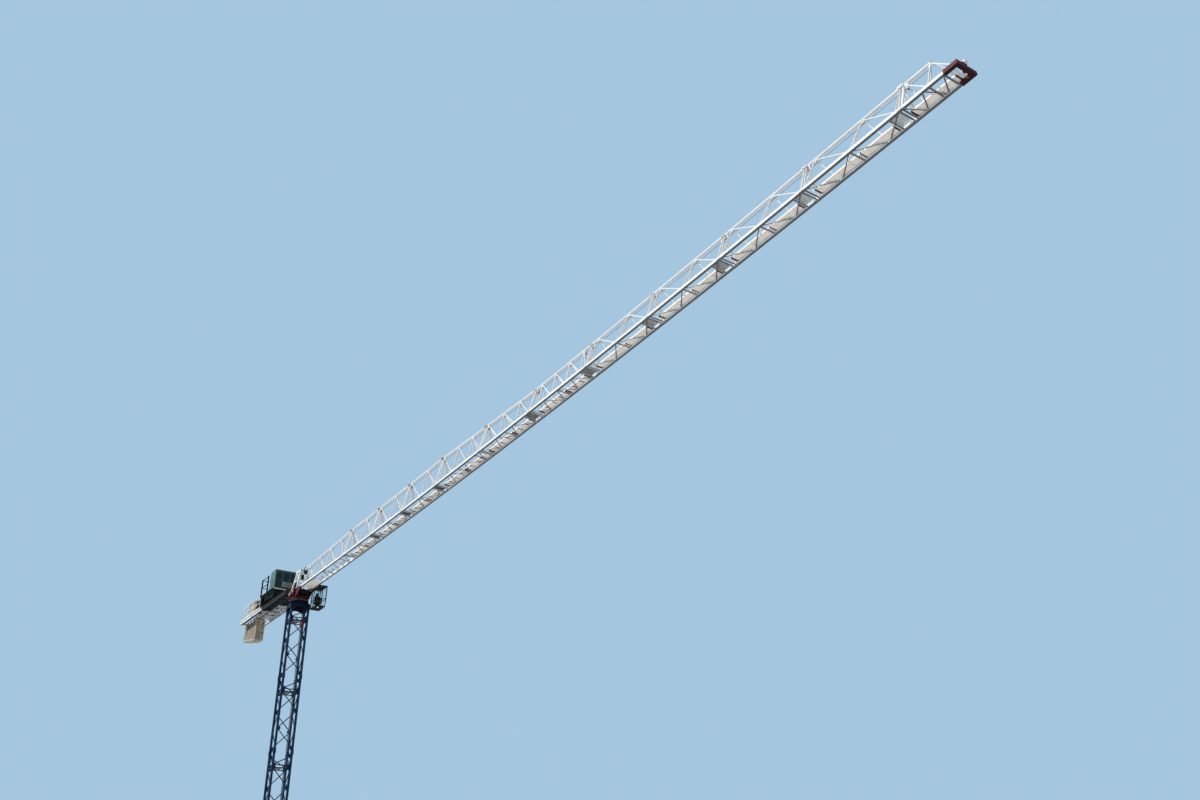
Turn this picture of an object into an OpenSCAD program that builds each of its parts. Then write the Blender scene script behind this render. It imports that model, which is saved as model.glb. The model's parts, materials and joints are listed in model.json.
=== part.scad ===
// Flat-top tower crane at half its real size, in millimetres.
// The slewing axis is Z, the jib points along +X and the foot stands on z = 0.

/* [Mast] */
// Distance between the axes of the mast chords
mast_w = 600; // [450:10:900]
// Side of a square mast chord
mast_chord = 72; // [50:1:90]
// Height of one mast section
mast_section_h = 2550; // [1800:10:3200]
// Thickness of the mast bracing
mast_brace = 34; // [20:1:44]
// Angle of the mast from the jib's rest direction
mast_turn = -6; // [-45:1:45]
// Length of one arm of the foundation cross, from the axis
foot_arm = 760; // [640:10:1400]
// Height of the foundation cross
foot_h = 150; // [80:5:260]
// Distance between the ladder's rungs
rung_pitch = 150; // [100:5:200]

/* [Slewing unit] */
// Height of the navy adapter on top of the mast
adapter_h = 200; // [140:5:300]
// Length of the adapter's skirt over the mast head
skirt_h = 125; // [60:5:200]
// Outer diameter of the slewing bearing
bearing_d = 640; // [520:10:800]
// Height of the slewing bearing
bearing_h = 60; // [40:1:100]
// Running clearance of the slewing bearing
slew_gap = 6; // [5:0.5:12]
// Height of the dark red turntable
turntable_h = 320; // [240:5:420]
// Length of the turntable behind the slewing axis
turntable_rear = 400; // [360:5:600]

/* [Jib] */
// Distance between the axes of the two lower chords
jib_w = 450; // [400:5:600]
// Height of the top chord over the root pins
jib_h_root = 780; // [700:5:900]
// Height of the jib's tall inner sections
jib_h_inner = 915; // [700:5:1100]
// Height of the jib where its slim outer part starts
jib_h_outer = 706; // [560:2:900]
// Height of the jib at its last joint
jib_h_tip = 675; // [540:5:900]
// Length of the section next to the tower, from its root pins
root_len = 3835; // [3000:5:4400]
// Length of a tall inner section
inner_len = 2230; // [1900:10:2600]
// Length of a middle section, where the height drops
middle_len = 2620; // [2200:10:3000]
// Length of a slim outer section
section_len = 2500; // [2000:10:3000]
// Distance from the slewing axis to the jib's root pins
root_x = 690; // [640:5:860]
// Length of the half section at the tip
tip_len = 1185; // [900:5:1400]
// Radius of the jib's upward camber
camber_r = 493000; // [200000:1000:900000]
// Rise of the jib at its root, in parts per thousand
root_rise = 10; // [0:1:30]
// Side of a square lower chord
low_chord = 64; // [44:1:80]
// Diameter of the round top chord
top_chord = 66; // [44:1:80]
// Diameter of the web bars
web_d = 32; // [20:1:40]
// Diameter of the bars in the bottom plane
lace_d = 28; // [18:1:36]
// Width of the catwalk
catwalk_w = 168; // [100:2:174]
// Thickness of the catwalk and the gratings
walk_t = 12; // [6:1:20]

/* [Nose] */
// Length of a nose sleeve along the chord
nose_len = 305; // [200:5:400]
// Side of a nose sleeve
nose_side = 84; // [80:1:110]

/* [Counter-jib] */
// Length of the counter-jib
counter_len = 4975; // [4400:5:6200]
// Width over the counter-jib's beams
counter_w = 880; // [800:10:1100]
// Height of a counter-jib beam
counter_beam_h = 120; // [90:5:160]
// Height of the railings
rail_h = 500; // [400:10:600]
// Thickness of one hung counterweight slab
slab_t = 345; // [280:5:380]
// Width of a slab
slab_w = 340; // [300:10:420]
// Height of the rearmost slab
slab_h = 640; // [500:10:800]
// Height that each slab has over the one behind it
slab_step = 62; // [0:2:80]

/* [Housing] */
// Length of the machine housing
housing_len = 550; // [450:10:900]
// Width of the machine housing
housing_w = 860; // [700:10:900]
// Height of the machine housing
housing_h = 735; // [600:5:900]
// Radius of its rounded rear roof edge
housing_r = 150; // [40:5:200]
// Height of the raised deck under the housing over the counter-jib
deck_rise = 470; // [380:10:540]
// Length of the raised deck
deck_len = 1430; // [1250:10:1800]
// Height of the posts behind the housing
rear_post_h = 660; // [500:10:760]

/* [Cab] */
// Length of the cab along the jib
cab_len = 650; // [560:10:900]
// Width of the cab
cab_w = 325; // [300:5:560]
// Height of the cab
cab_h = 775; // [700:5:950]

/* [Hidden] */
seat = 0.3;
mast_sections = 5;
mast_top = foot_h + mast_sections * mast_section_h;
bearing_z = mast_top + adapter_h;
turntable_z = bearing_z + bearing_h + slew_gap;
jib_level = turntable_z + turntable_h;
section_count = 10;
half_w = jib_w / 2;
navy = [0.07, 0.11, 0.28];
off_white = [0.88, 0.89, 0.9];
cream = [0.84, 0.78, 0.66];
dark_red = [0.3, 0.07, 0.08];
dark_green = [0.05, 0.12, 0.12];
teal = [0.16, 0.33, 0.34];
concrete = [0.7, 0.67, 0.6];
steel = [0.35, 0.36, 0.38];

// A round bar of few sides from one point to another
module bar(from, to, d, sides = 6) {
    v = to - from;
    translate(from)
        rotate([0, acos(v.z / norm(v)), atan2(v.y, v.x)])
            cylinder(h = norm(v), d = d, $fn = sides);
}

// Distance from the axis of a six-sided bar to its flats
function flat(d) = d / 2 * cos(30);

// A rectangular bar along X, centred on its axis
module beam_x(x0, x1, y, z, w, h) {
    translate([x0, y - w / 2, z - h / 2]) cube([x1 - x0, w, h]);
}

// A rectangular bar along Y, centred on its axis
module beam_y(x, y0, y1, z, w, h) {
    translate([x - w / 2, y0, z - h / 2]) cube([w, y1 - y0, h]);
}

// A square post from one height to another
module post(x, y, z0, z1, w) {
    translate([x - w / 2, y - w / 2, z0]) cube([w, w, z1 - z0]);
}

// Mast: square sections, braced in a zigzag on each side
brace_low = 130;
brace_top_gap = 130;
double_brace_z = 0.79 * mast_section_h;
double_brace_gap = 90;
brace_step = (double_brace_z - brace_low) / 3;
function mast_pt(side, z) = [side * mast_w / 2, -mast_w / 2, z];

module mast_side() {
    for (i = [0:2])
        bar(mast_pt(i % 2 == 0 ? 1 : -1, brace_low + i * brace_step),
            mast_pt(i % 2 == 0 ? -1 : 1, brace_low + (i + 1) * brace_step), mast_brace);
    bar(mast_pt(-1, double_brace_z + double_brace_gap),
        mast_pt(1, mast_section_h - brace_top_gap), mast_brace);
    for (z = [double_brace_z, double_brace_z + double_brace_gap])
        bar(mast_pt(-1, z), mast_pt(1, z), mast_brace);
}

module mast_section(number) {
    color(navy)
        rotate(mast_turn)
            translate([0, 0, foot_h + (number - 1) * mast_section_h]) {
                for (x = [-1, 1], y = [-1, 1])
                    post(x * mast_w / 2, y * mast_w / 2, 0, mast_section_h, mast_chord);
                for (k = [0:3]) rotate(90 * k) mast_side();
            }
}

collar_h = 150;
collar_side = mast_chord + 22;
module mast_collars() {
    color(navy)
        rotate(mast_turn)
            for (k = [1:mast_sections - 1], x = [-1, 1], y = [-1, 1])
                translate([x * mast_w / 2, y * mast_w / 2, foot_h + k * mast_section_h])
                    difference() {
                        cube([collar_side, collar_side, collar_h], center = true);
                        cube([mast_chord + 2 * seat, mast_chord + 2 * seat, collar_h + 2],
                            center = true);
                    }
}

arm_w = 150;
arm_flange = 22;
arm_web = 20;
gusset_h = 170;
gusset_t = 14;
module arm_profile() {
    for (y = [0, foot_h - arm_flange]) translate([-arm_w / 2, y]) square([arm_w, arm_flange]);
    translate([-arm_web / 2, 0]) square([arm_web, foot_h]);
}

module base_frame() {
    chord_at = mast_w / sqrt(2);
    color(navy)
        rotate(mast_turn + 45)
            for (a = [0:90:270])
                rotate(a) {
                    rotate([90, 0, 90]) linear_extrude(foot_arm) arm_profile();
                    translate([foot_arm - 60, 0, 12]) cube([260, 260, 24], center = true);
                    translate([foot_arm - 6, 0, foot_h / 2]) cube([12, arm_w, foot_h], center = true);
                    for (x = [chord_at - 46, chord_at + 46])
                        translate([x, 0, foot_h / 2]) cube([10, arm_w - 20, foot_h], center = true);
                    translate([chord_at + mast_chord * 0.72 + seat, gusset_t / 2, foot_h - 1])
                        rotate([90, 0, 0])
                            linear_extrude(gusset_t)
                                polygon([[0, 0], [gusset_h * 0.8, 0], [gusset_h * 0.8, 20], [14, gusset_h],
                                    [0, gusset_h]]);
                }
}

ladder_w = 200;
ladder_y = mast_w / 2 - mast_chord / 2 - 75;
ladder_gap = 60;
rungs = floor((mast_section_h - ladder_gap) / rung_pitch);
module ladder_length() {
    for (side = [-1, 1])
        post(side * ladder_w / 2, 0, ladder_gap / 2, mast_section_h - ladder_gap / 2, 18);
    for (i = [0:rungs - 1])
        beam_x(-ladder_w / 2, ladder_w / 2, 0, ladder_gap / 2 + (i + 0.5) * rung_pitch, 12, 12);
}

bracket_len = mast_w / 2 - ladder_y;
module mast_ladder() {
    color(steel)
        rotate(mast_turn)
            for (k = [0:mast_sections - 1])
                translate([0, ladder_y, foot_h + k * mast_section_h]) {
                    ladder_length();
                    for (side = [-1, 1])
                        beam_y(side * ladder_w / 2, 0, bracket_len - flat(mast_brace) - seat,
                            double_brace_z, 16, 16);
                }
}

platform_t = 14;
module mast_platforms() {
    color(steel)
        rotate(mast_turn)
            for (k = [0:mast_sections - 1])
                translate([
                        -mast_w / 2 + mast_chord / 2 + 4, -mast_w / 2 + flat(mast_brace) + seat,
                        foot_h + k * mast_section_h + double_brace_z - platform_t / 2
                    ])
                    cube([mast_w - mast_chord - 8, mast_w * 0.55, platform_t]);
}

// Slewing unit: adapter and outer race stay with the mast
skirt_t = 14;
skirt_out = mast_w / 2 + mast_chord / 2 + seat;
ring_frame_h = 70;
drum_d = bearing_d - 40;
module skirt_plate() {
    w = 2 * (skirt_out + skirt_t);
    arch_w = w / 2 - mast_chord - 40;
    arch_h = 0.34 * arch_w;
    arch_r = (arch_w * arch_w + arch_h * arch_h) / (2 * arch_h);
    translate([0, -skirt_out, 0])
        rotate([90, 0, 0])
            linear_extrude(skirt_t)
                difference() {
                    translate([-w / 2, -skirt_h]) square([w, skirt_h + ring_frame_h]);
                    translate([0, -skirt_h - arch_r + arch_h]) circle(arch_r, $fn = 96);
                }
}

module adapter_rib() {
    r0 = drum_d / 2 - 4;
    r1 = skirt_out * sqrt(2) - 30;
    translate([0, 8, 0])
        rotate([90, 0, 0])
            linear_extrude(16)
                polygon([[r0, ring_frame_h - 1], [r1, ring_frame_h - 1], [r1, ring_frame_h + 20],
                    [r0 + 20, adapter_h - 26], [r0, adapter_h - 26]]);
}

module slew_adapter() {
    w = 2 * (skirt_out + skirt_t);
    color(navy)
        rotate(mast_turn)
            translate([0, 0, mast_top + seat]) {
                difference() {
                    union() {
                        translate([-w / 2, -w / 2, 0]) cube([w, w, ring_frame_h]);
                        cylinder(h = adapter_h - 2 * seat, d = drum_d, $fn = 64);
                        translate([0, 0, adapter_h - 2 * seat - 30])
                            cylinder(h = 30, d = bearing_d + 60, $fn = 64);
                    }
                    translate([0, 0, -1]) cylinder(h = adapter_h + 2, d = bearing_d - 220, $fn = 64);
                }
                for (k = [0:3]) rotate(90 * k) {
                    skirt_plate();
                    rotate(45) adapter_rib();
                }
            }
}

race_w = 44;
tooth_count = 72;
tooth_h = 11;
function tooth_r(i) = bearing_d / 2 - (i % 4 < 2 ? 0 : tooth_h);
module slew_outer_race() {
    color(steel)
        translate([0, 0, bearing_z]) difference() {
            union() {
                linear_extrude(bearing_h * 0.6)
                    polygon([for (i = [0:4 * tooth_count - 1])
                        let (a = 90 * (i + (i % 2 == 0 ? 0.2 : -0.2)) / tooth_count)
                            tooth_r(i) * [cos(a), sin(a)]]);
                cylinder(h = bearing_h, d = bearing_d - 2 * tooth_h - 6, $fn = 64);
            }
            translate([0, 0, -1]) cylinder(h = bearing_h + 2, d = bearing_d - 2 * race_w, $fn = 64);
        }
}

inner_race_d = bearing_d - 2 * race_w - 2 * slew_gap;
module slew_inner_race() {
    color(steel)
        translate([0, 0, bearing_z + slew_gap]) difference() {
            cylinder(h = bearing_h, d = inner_race_d, $fn = 64);
            translate([0, 0, -1]) cylinder(h = bearing_h + 2, d = inner_race_d - 2 * race_w, $fn = 64);
        }
}

// Turntable: a ring plate and two pairs of side plates that hold the jib's root lugs
ring_plate_t = 30;
cheek_t = 14;
cheek_in = 16;
pin_d = 34;
cheek_top = 44;
lug_t = 2 * (cheek_in - 4);
lug_r = 30;
eye_r = 36;
rear_x = -turntable_rear;
head_x = 260;
module cheek() {
    rotate([90, 0, 0])
        linear_extrude(cheek_t)
            difference() {
                union() {
                    polygon([
                        [rear_x, ring_plate_t - turntable_h], [bearing_d / 2, ring_plate_t - turntable_h],
                        [root_x + eye_r, -50], [root_x + eye_r, 0], [root_x, eye_r],
                        [head_x + 70, cheek_top], [rear_x, cheek_top]
                    ]);
                    translate([root_x, 0]) circle(eye_r, $fn = 32);
                }
                translate([root_x, 0]) circle(pin_d / 2 + seat, $fn = 32);
            }
}

rib_t = 12;
module turntable() {
    color(dark_red)
        translate([0, 0, jib_level]) {
            translate([0, 0, -turntable_h]) difference() {
                cylinder(h = ring_plate_t, d = bearing_d + 40, $fn = 64);
                translate([0, 0, -1]) cylinder(h = ring_plate_t + 2, d = bearing_d - 260, $fn = 64);
            }
            translate([rear_x, -half_w - cheek_in, -turntable_h + 2])
                cube([turntable_rear - 110, 2 * (half_w + cheek_in), ring_plate_t - 6]);
            for (side = [-1, 1], face = [-cheek_in, cheek_in + cheek_t])
                translate([0, side * half_w + face, 0]) cheek();
            for (x = [rear_x + 60, 0, bearing_d / 2 - 40])
                beam_y(x, -half_w - cheek_in, half_w + cheek_in, ring_plate_t - turntable_h + 66, 60, 140);
            beam_y(rear_x + 30, -counter_w / 2, counter_w / 2, counter_lift, 60, counter_beam_h);
            for (x = [-250, -90, 90, 250], side = [-1, 1])
                translate([x - rib_t / 2, side * (half_w + cheek_in + cheek_t + 22) - 23,
                        ring_plate_t - turntable_h - 1])
                    cube([rib_t, 46, turntable_h + cheek_top - ring_plate_t - 30]);
        }
}

// Slewing drives: gearmotors that stand on the turntable's rear plate
motor_x = -185;
motor_y = 105;
module slew_motors() {
    color(steel)
        for (side = [-1, 1])
            translate([motor_x, side * motor_y, jib_level - turntable_h + ring_plate_t + seat]) {
                cylinder(h = 18, d = 150, $fn = 32);
                cylinder(h = 96, d = 112, $fn = 32);
                translate([0, 0, 95]) cylinder(h = 12, d = 132, $fn = 32);
                translate([0, 0, 106]) cylinder(h = 104, d = 92, $fn = 32);
                translate([0, 0, 209]) cylinder(h = 22, d = 78, $fn = 32);
                translate([20, -25, 130]) cube([48, 50, 60]);
            }
}

// Head frame: four posts and the top beams that the top chord is pinned to
head_top_x = 195;
head_top_y = 120;
head_beam = 60;
head_front = head_top_x + head_beam / 2;
foot_t = 14;
head_top_z = jib_h_root - 20;
head_mid_z = head_top_z * 0.52;
function head_at(x, side, z) = let (t = (z - cheek_top) / (head_top_z - cheek_top))
    [x * (head_x + (head_top_x - head_x) * t), side * (half_w + (head_top_y - half_w) * t), z];
module head_frame() {
    color(off_white)
        translate([0, 0, jib_level]) {
            for (x = [-1, 1], side = [-1, 1]) {
                translate([x * head_x, side * half_w, cheek_top + seat + foot_t / 2])
                    cube([100, 90, foot_t], center = true);
                bar([x * head_x, side * half_w, cheek_top + seat + foot_t / 2],
                    [x * head_top_x, side * head_top_y, head_top_z], 56, 8);
                bar(head_at(x, side, head_mid_z), head_at(-x, side, head_top_z - 20), 30);
            }
            for (side = [-1, 1]) {
                beam_x(-head_front, head_front, side * head_top_y, head_top_z, head_beam, head_beam);
                bar(head_at(-1, side, head_mid_z), head_at(1, side, head_mid_z), 40);
            }
            for (x = [-head_top_x, head_top_x])
                beam_y(x, -head_top_y, head_top_y, head_top_z, head_beam, head_beam - 8);
            for (x = [-1, 1]) bar(head_at(x, -1, head_mid_z), head_at(x, 1, head_mid_z), 36);
        }
}

// Jib: straight sections whose joints lie on a rising arc
inner_count = 3;
middle_count = 3;
first_outer = 1 + inner_count + middle_count;
function joint_x(k) = k == 0 ? root_x : root_x + root_len + inner_len * min(k - 1, inner_count)
    + middle_len * max(0, min(k - 1 - inner_count, middle_count)) + section_len * max(0, k - first_outer);
tall_end = 1 + inner_count;
slim_start = tall_end + 2;
function top_h(k) = k == 0 ? jib_h_root : k <= tall_end ? jib_h_inner
    : k < slim_start ? (jib_h_inner + jib_h_outer) / 2
    : jib_h_outer + (jib_h_tip - jib_h_outer) * (k - slim_start) / (tip_joint - slim_start);
function arc_z(x) = x * root_rise / 1000 + x * x / (2 * camber_r);
function camber_z(x) = arc_z(x) - arc_z(root_x);
function joint_pt(k) = [joint_x(k), 0, camber_z(joint_x(k))];
function tilt(from, to) = atan2(to.z - from.z, to.x - from.x);
tip_joint = section_count + 1;
joint_gap = 0.4;
function jib_tilt(k) = k == tip_joint ? tilt(tip_start, tip_end) : tilt(joint_pt(k), joint_pt(k + 1));
function top_slope(k) = k >= tip_joint ? 0
    : (top_h(k + 1) - top_h(k)) / norm(joint_pt(k + 1) - joint_pt(k));
function top_gap(k) = joint_gap + top_h(k) * abs(jib_tilt(k) - jib_tilt(k - 1)) * PI / 180
    + abs(top_slope(k) - top_slope(k - 1)) * top_chord / 2;

module on_jib(from, to) {
    translate(from + [0, 0, jib_level]) rotate([0, -tilt(from, to), 0]) children();
}

module on_section(k) {
    $len = norm(joint_pt(k + 1) - joint_pt(k));
    $h0 = top_h(k);
    $h1 = top_h(min(k + 1, tip_joint));
    $g0 = k == 0 ? 0 : top_gap(k) / 2;
    $g1 = top_gap(k + 1) / 2;
    on_jib(joint_pt(k), joint_pt(k + 1)) children();
}

function low(x, side) = [x, side * half_w, 0];
function high(x) = [x, 0, $h0 + ($h1 - $h0) * x / $len];

module chords(x0, x1, top0, top1) {
    for (side = [-1, 1]) beam_x(x0, x1, side * half_w, 0, low_chord, low_chord);
    bar(high(top0), high(top1), top_chord, 12);
}

module web(side, pairs) {
    for (p = pairs) bar(high(p[0] * $len), low(p[1] * $len, side), web_d);
}

module lacing(steps, x0, x1) {
    step = (x1 - x0) / steps;
    for (i = [0:steps - 1])
        bar(low(x0 + i * step, i % 2 == 0 ? -1 : 1), low(x0 + (i + 1) * step, i % 2 == 0 ? 1 : -1),
            lace_d);
}

strut_d = 40;
module struts(places) {
    for (x = places) bar(low(x, -1), low(x, 1), strut_d);
}

end_in = 34;
module end_frame(x) {
    for (side = [-1, 1]) bar(high(x), low(x, side), web_d);
}

first_top = 0.11;
second_top = 0.61;
near_pairs = [[first_top, 0.02], [first_top, 0.5], [second_top, 0.5], [second_top, 0.98]];
far_pairs = [[first_top, 0.25], [second_top, 0.25], [second_top, 0.75], [0.98, 0.75]];
lean = 0.05;
function post_pairs(n, shift = 0.1) = [for (i = [0:n - 1], d = [lean, 0.9 / n + lean])
    [(i + shift) / n, min(0.985, (i + shift) / n + d)]];
function vee_pairs(n, shift = 0.1, from = 0.015) = [for (i = [0:n - 1], d = [-0.3, 0.5])
    [(i + shift) / n, min(0.985, max(from, (i + shift + d) / n + 0.01))]];
grating_x = 0.885;

lug_len = 58;
lug_side = low_chord + 12;
module end_lugs(places) {
    for (x = places, side = [-1, 1]) beam_x(x, x + lug_len, side * half_w, 0, lug_side, low_chord - 20);
}

module jib_section(k) {
    slim = k >= first_outer;
    panels = k <= inner_count ? 2 : k < slim_start ? 3 : 4;
    shift = k < slim_start ? 0.1 : 0.48;
    color(off_white)
        on_section(k) {
            chords(joint_gap / 2, $len - joint_gap / 2, $g0, $len - $g1);
            web(-1, slim ? near_pairs : post_pairs(panels, shift));
            web(1, slim ? far_pairs : vee_pairs(panels, shift));
            lacing(slim ? 4 : 2 * panels, end_in, $len - end_in);
            struts([end_in, 0.5 * $len, grating_x * $len, $len - end_in]);
            end_frame(end_in);
            end_frame($len - end_in);
            end_lugs([joint_gap / 2, $len - joint_gap / 2 - lug_len]);
        }
}

root_tilt = tilt(joint_pt(0), joint_pt(1));
root_top = (head_front + seat - root_x + (jib_h_root + top_chord / 2) * sin(root_tilt)) / cos(root_tilt)
    + top_slope(0) * top_chord / 2;
chord_start = 48;
root_strut = 100;
module root_lug(side) {
    translate([0, side * half_w, 0])
        rotate([90, 0, 0])
            difference() {
                union() {
                    cylinder(h = lug_t, r = lug_r, center = true, $fn = 32);
                    translate([0, -lug_r, -lug_t / 2]) cube([chord_start + 12, 2 * lug_r, lug_t]);
                }
                cylinder(h = lug_t + 2, d = pin_d + 2 * seat, center = true, $fn = 32);
            }
}

module jib_root() {
    color(off_white)
        on_section(0) {
            chords(chord_start, $len - joint_gap / 2, root_top, $len - $g1);
            for (side = [-1, 1]) root_lug(side);
            web(-1, post_pairs(4));
            web(1, vee_pairs(4, 0.1, root_strut / $len));
            lacing(8, root_strut, $len - end_in);
            struts([root_strut, 0.5 * $len, grating_x * $len, $len - end_in]);
            end_frame($len - end_in);
            end_lugs([$len - joint_gap / 2 - lug_len]);
        }
}

nose_start = tip_len - nose_len * 0.6;
nose_foot = (nose_start - 28) / tip_len;
tip_start = joint_pt(tip_joint);
tip_end = [tip_start.x + tip_len, 0, camber_z(tip_start.x + tip_len)];
module on_tip() {
    $len = tip_len;
    $h0 = jib_h_tip;
    $h1 = jib_h_tip - 10;
    on_jib(tip_start, tip_end) children();
}

tip_strut = 0.54;
tip_node = 0.57;
nose_foot_x = nose_start + 0.55 * nose_len;
module jib_tip() {
    color(off_white)
        on_tip() {
            for (side = [-1, 1])
                beam_x(joint_gap / 2, tip_len, side * half_w, 0, low_chord, low_chord);
            bar(high(top_gap(tip_joint) / 2), high((tip_node + 0.02) * tip_len), top_chord, 12);
            web(-1, [[0.06, 0.04], [0.06, tip_strut], [tip_node, tip_strut]]);
            web(1, [[0.06, 0.3], [tip_node, 0.3]]);
            for (side = [-1, 1]) {
                bar(high(tip_node * tip_len), [nose_foot_x, side * half_w, nose_side / 2 + seat + 14],
                    web_d);
                translate([nose_foot_x - 35, side * half_w - 20, nose_side / 2 + seat]) cube([70, 40, 16]);
            }
            lacing(4, end_in, nose_foot * tip_len);
            struts([end_in, tip_strut * tip_len, nose_foot * tip_len]);
            end_frame(end_in);
            end_lugs([joint_gap / 2]);
        }
}

module jib_nose() {
    color(dark_red)
        on_tip() {
            for (side = [-1, 1])
                difference() {
                    beam_x(nose_start, nose_start + nose_len, side * half_w, 0,
                        nose_side, nose_side);
                    beam_x(nose_start - 1, tip_len + seat, side * half_w, 0,
                        low_chord + 2 * seat, low_chord + 2 * seat);
                }
            beam_y(nose_start + nose_len - nose_side / 2, -half_w, half_w, 0, nose_side, nose_side - 6);
        }
}

module jib_pins() {
    color(steel)
        translate([0, 0, jib_level])
            for (side = [-1, 1])
                translate([root_x, side * half_w, 0])
                    rotate([90, 0, 0])
                        cylinder(h = 2 * (cheek_in + cheek_t) + 16, d = pin_d, center = true, $fn = 32);
}

walk_z = strut_d / 2 + seat;
walk_y = 8;
toe_t = 5;
toe_h = 34;
plain_joint = 4;
module walkway(x0, x1) {
    translate([x0, walk_y, walk_z]) {
        cube([x1 - x0, catwalk_w, walk_t]);
        for (y = [0, catwalk_w - toe_t]) translate([0, y, 0]) cube([x1 - x0, toe_t, toe_h]);
    }
}

module jib_catwalk() {
    color(cream) {
        for (k = [1:section_count])
            on_section(k)
                walkway((k == plain_joint + 1 ? 0.005 : 0.05) * $len,
                    (k == plain_joint ? 0.995 : grating_x - 0.02) * $len);
        on_tip() walkway(0.05 * tip_len, 0.93 * tip_len);
    }
}

module grating(length, width, slots) {
    pitch = (length - 16) / slots;
    difference() {
        cube([length, width, walk_t]);
        for (i = [0:slots - 1], half = [0, 1])
            translate([12 + i * pitch, 14 + half * (width / 2 - 4), -1])
                cube([pitch - 8, width / 2 - 24, walk_t + 2]);
    }
}

module joint_gratings() {
    color(steel)
        for (k = [1:section_count])
            if (k != plain_joint) on_section(k)
                translate([(grating_x - 0.01) * $len, -half_w + low_chord / 2 + 10, walk_z])
                    grating(0.1 * $len, jib_w - low_chord - 48, 11);
}

module root_plate() {
    color(cream)
        on_section(0)
            translate([root_strut - 30, -half_w + low_chord / 2 + 2, -strut_d / 2 - seat - walk_t])
                cube([root_len * 0.22, jib_w - low_chord - 4, walk_t]);
}

// Cab: an open glazed frame beside the jib's root
cab_x = 425;
cab_reach = 45;
cab_y = half_w + cheek_in + cheek_t + cab_reach;
cab_z = jib_level + 50 - cab_h;
cab_post = 24;
cab_floor_t = 56;
cab_roof_t = 34;
cab_nose = 90;
arm_pitch = 190;
cab_mid_x = 20 + arm_pitch - 9;
cab_rail = cab_post - 8;
cab_sill = cab_h * 0.36 + cab_rail;
module cab_profile(inset) {
    polygon([
        [inset, inset], [cab_len - cab_nose, inset], [cab_len - inset, cab_h * 0.36],
        [cab_len - inset, cab_h - inset], [inset, cab_h - inset]
    ]);
}

module cab_side(y) {
    translate([0, y + cab_post, 0])
        rotate([90, 0, 0])
            linear_extrude(cab_post)
                difference() {
                    cab_profile(0);
                    difference() {
                        cab_profile(cab_post);
                        translate([cab_mid_x, 0]) square([cab_post - 6, cab_h]);
                        translate([0, cab_sill - cab_rail]) square([cab_len, cab_rail]);
                    }
                }
}

module seat_shape() {
    translate([150, cab_w / 2 - 35, cab_floor_t - 1]) {
        cube([70, 70, 120]);
        translate([-35, -45, 119]) cube([150, 160, 34]);
        translate([-45, -40, 140]) rotate([0, -8, 0]) cube([30, 150, 190]);
        for (y = [-74, 114]) translate([-20, y, 130]) cube([140, 30, 50]);
    }
}

module cab_frame() {
    color(dark_green)
        translate([cab_x, cab_y, cab_z]) {
            cube([cab_len - cab_nose, cab_w, cab_floor_t]);
            translate([0, 0, cab_h - cab_roof_t]) cube([cab_len, cab_w, cab_roof_t]);
            for (y = [0, cab_w - cab_post]) cab_side(y);
            for (z = [cab_sill - cab_rail, cab_h - cab_roof_t])
                translate([cab_len - cab_post, 0, z]) cube([cab_post, cab_w, cab_rail]);
            seat_shape();
            for (x = [20, 20 + arm_pitch], z = [cab_h - 140, cab_h - 60])
                beam_y(x, seat - cab_reach, 8, z, 36, 40);
        }
}

pane_t = 6;
module cab_glass() {
    low_z = cab_floor_t + seat;
    top_z = cab_h - cab_roof_t - seat;
    gap = 2;
    color("lightblue", 0.4)
        translate([cab_x, cab_y, cab_z]) {
            translate([cab_post / 2 - pane_t / 2, cab_post + gap, low_z])
                cube([pane_t, cab_w - 2 * cab_post - 2 * gap, top_z - low_z]);
            for (y = [cab_post / 2 + pane_t / 2, cab_w - cab_post / 2 + pane_t / 2])
                translate([0, y, 0])
                    rotate([90, 0, 0])
                        linear_extrude(pane_t)
                            intersection() {
                                difference() {
                                    cab_profile(cab_post + gap);
                                    translate([cab_mid_x - gap, 0])
                                        square([cab_post - 6 + 2 * gap, cab_h]);
                                    translate([0, cab_sill - cab_rail - gap])
                                        square([cab_len, cab_rail + 2 * gap]);
                                }
                                translate([0, low_z]) square([cab_len, top_z - low_z]);
                            }
            translate([cab_len - cab_post / 2 - pane_t / 2, cab_post + gap, cab_sill + gap])
                cube([pane_t, cab_w - 2 * cab_post - 2 * gap, top_z - cab_sill - gap]);
        }
}

// Counter-jib: two side beams, two inner beams and cross members
counter_x = rear_x - seat;
counter_end = counter_x - counter_len;
counter_lift = 30;
counter_z = jib_level + counter_lift;
flange_w = 60;
flange_t = 10;
beam_web = 12;
counter_side = counter_w / 2 - flange_w / 2;
ballast_y = -20;
rail_y = 92;
bay_len = 4 * slab_t - 60;
bay_front = counter_end + bay_len;
cross_pitch = 470;
cross_count = floor((counter_x - bay_front - 60) / cross_pitch);
module beam_profile() {
    for (z = [-counter_beam_h / 2, counter_beam_h / 2 - flange_t])
        translate([-flange_w / 2, z]) square([flange_w, flange_t]);
    translate([-beam_web / 2, -counter_beam_h / 2]) square([beam_web, counter_beam_h]);
}

module long_beam(x0, x1, y) {
    translate([x0, y, counter_z]) rotate([90, 0, 90]) linear_extrude(x1 - x0) beam_profile();
}

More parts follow.
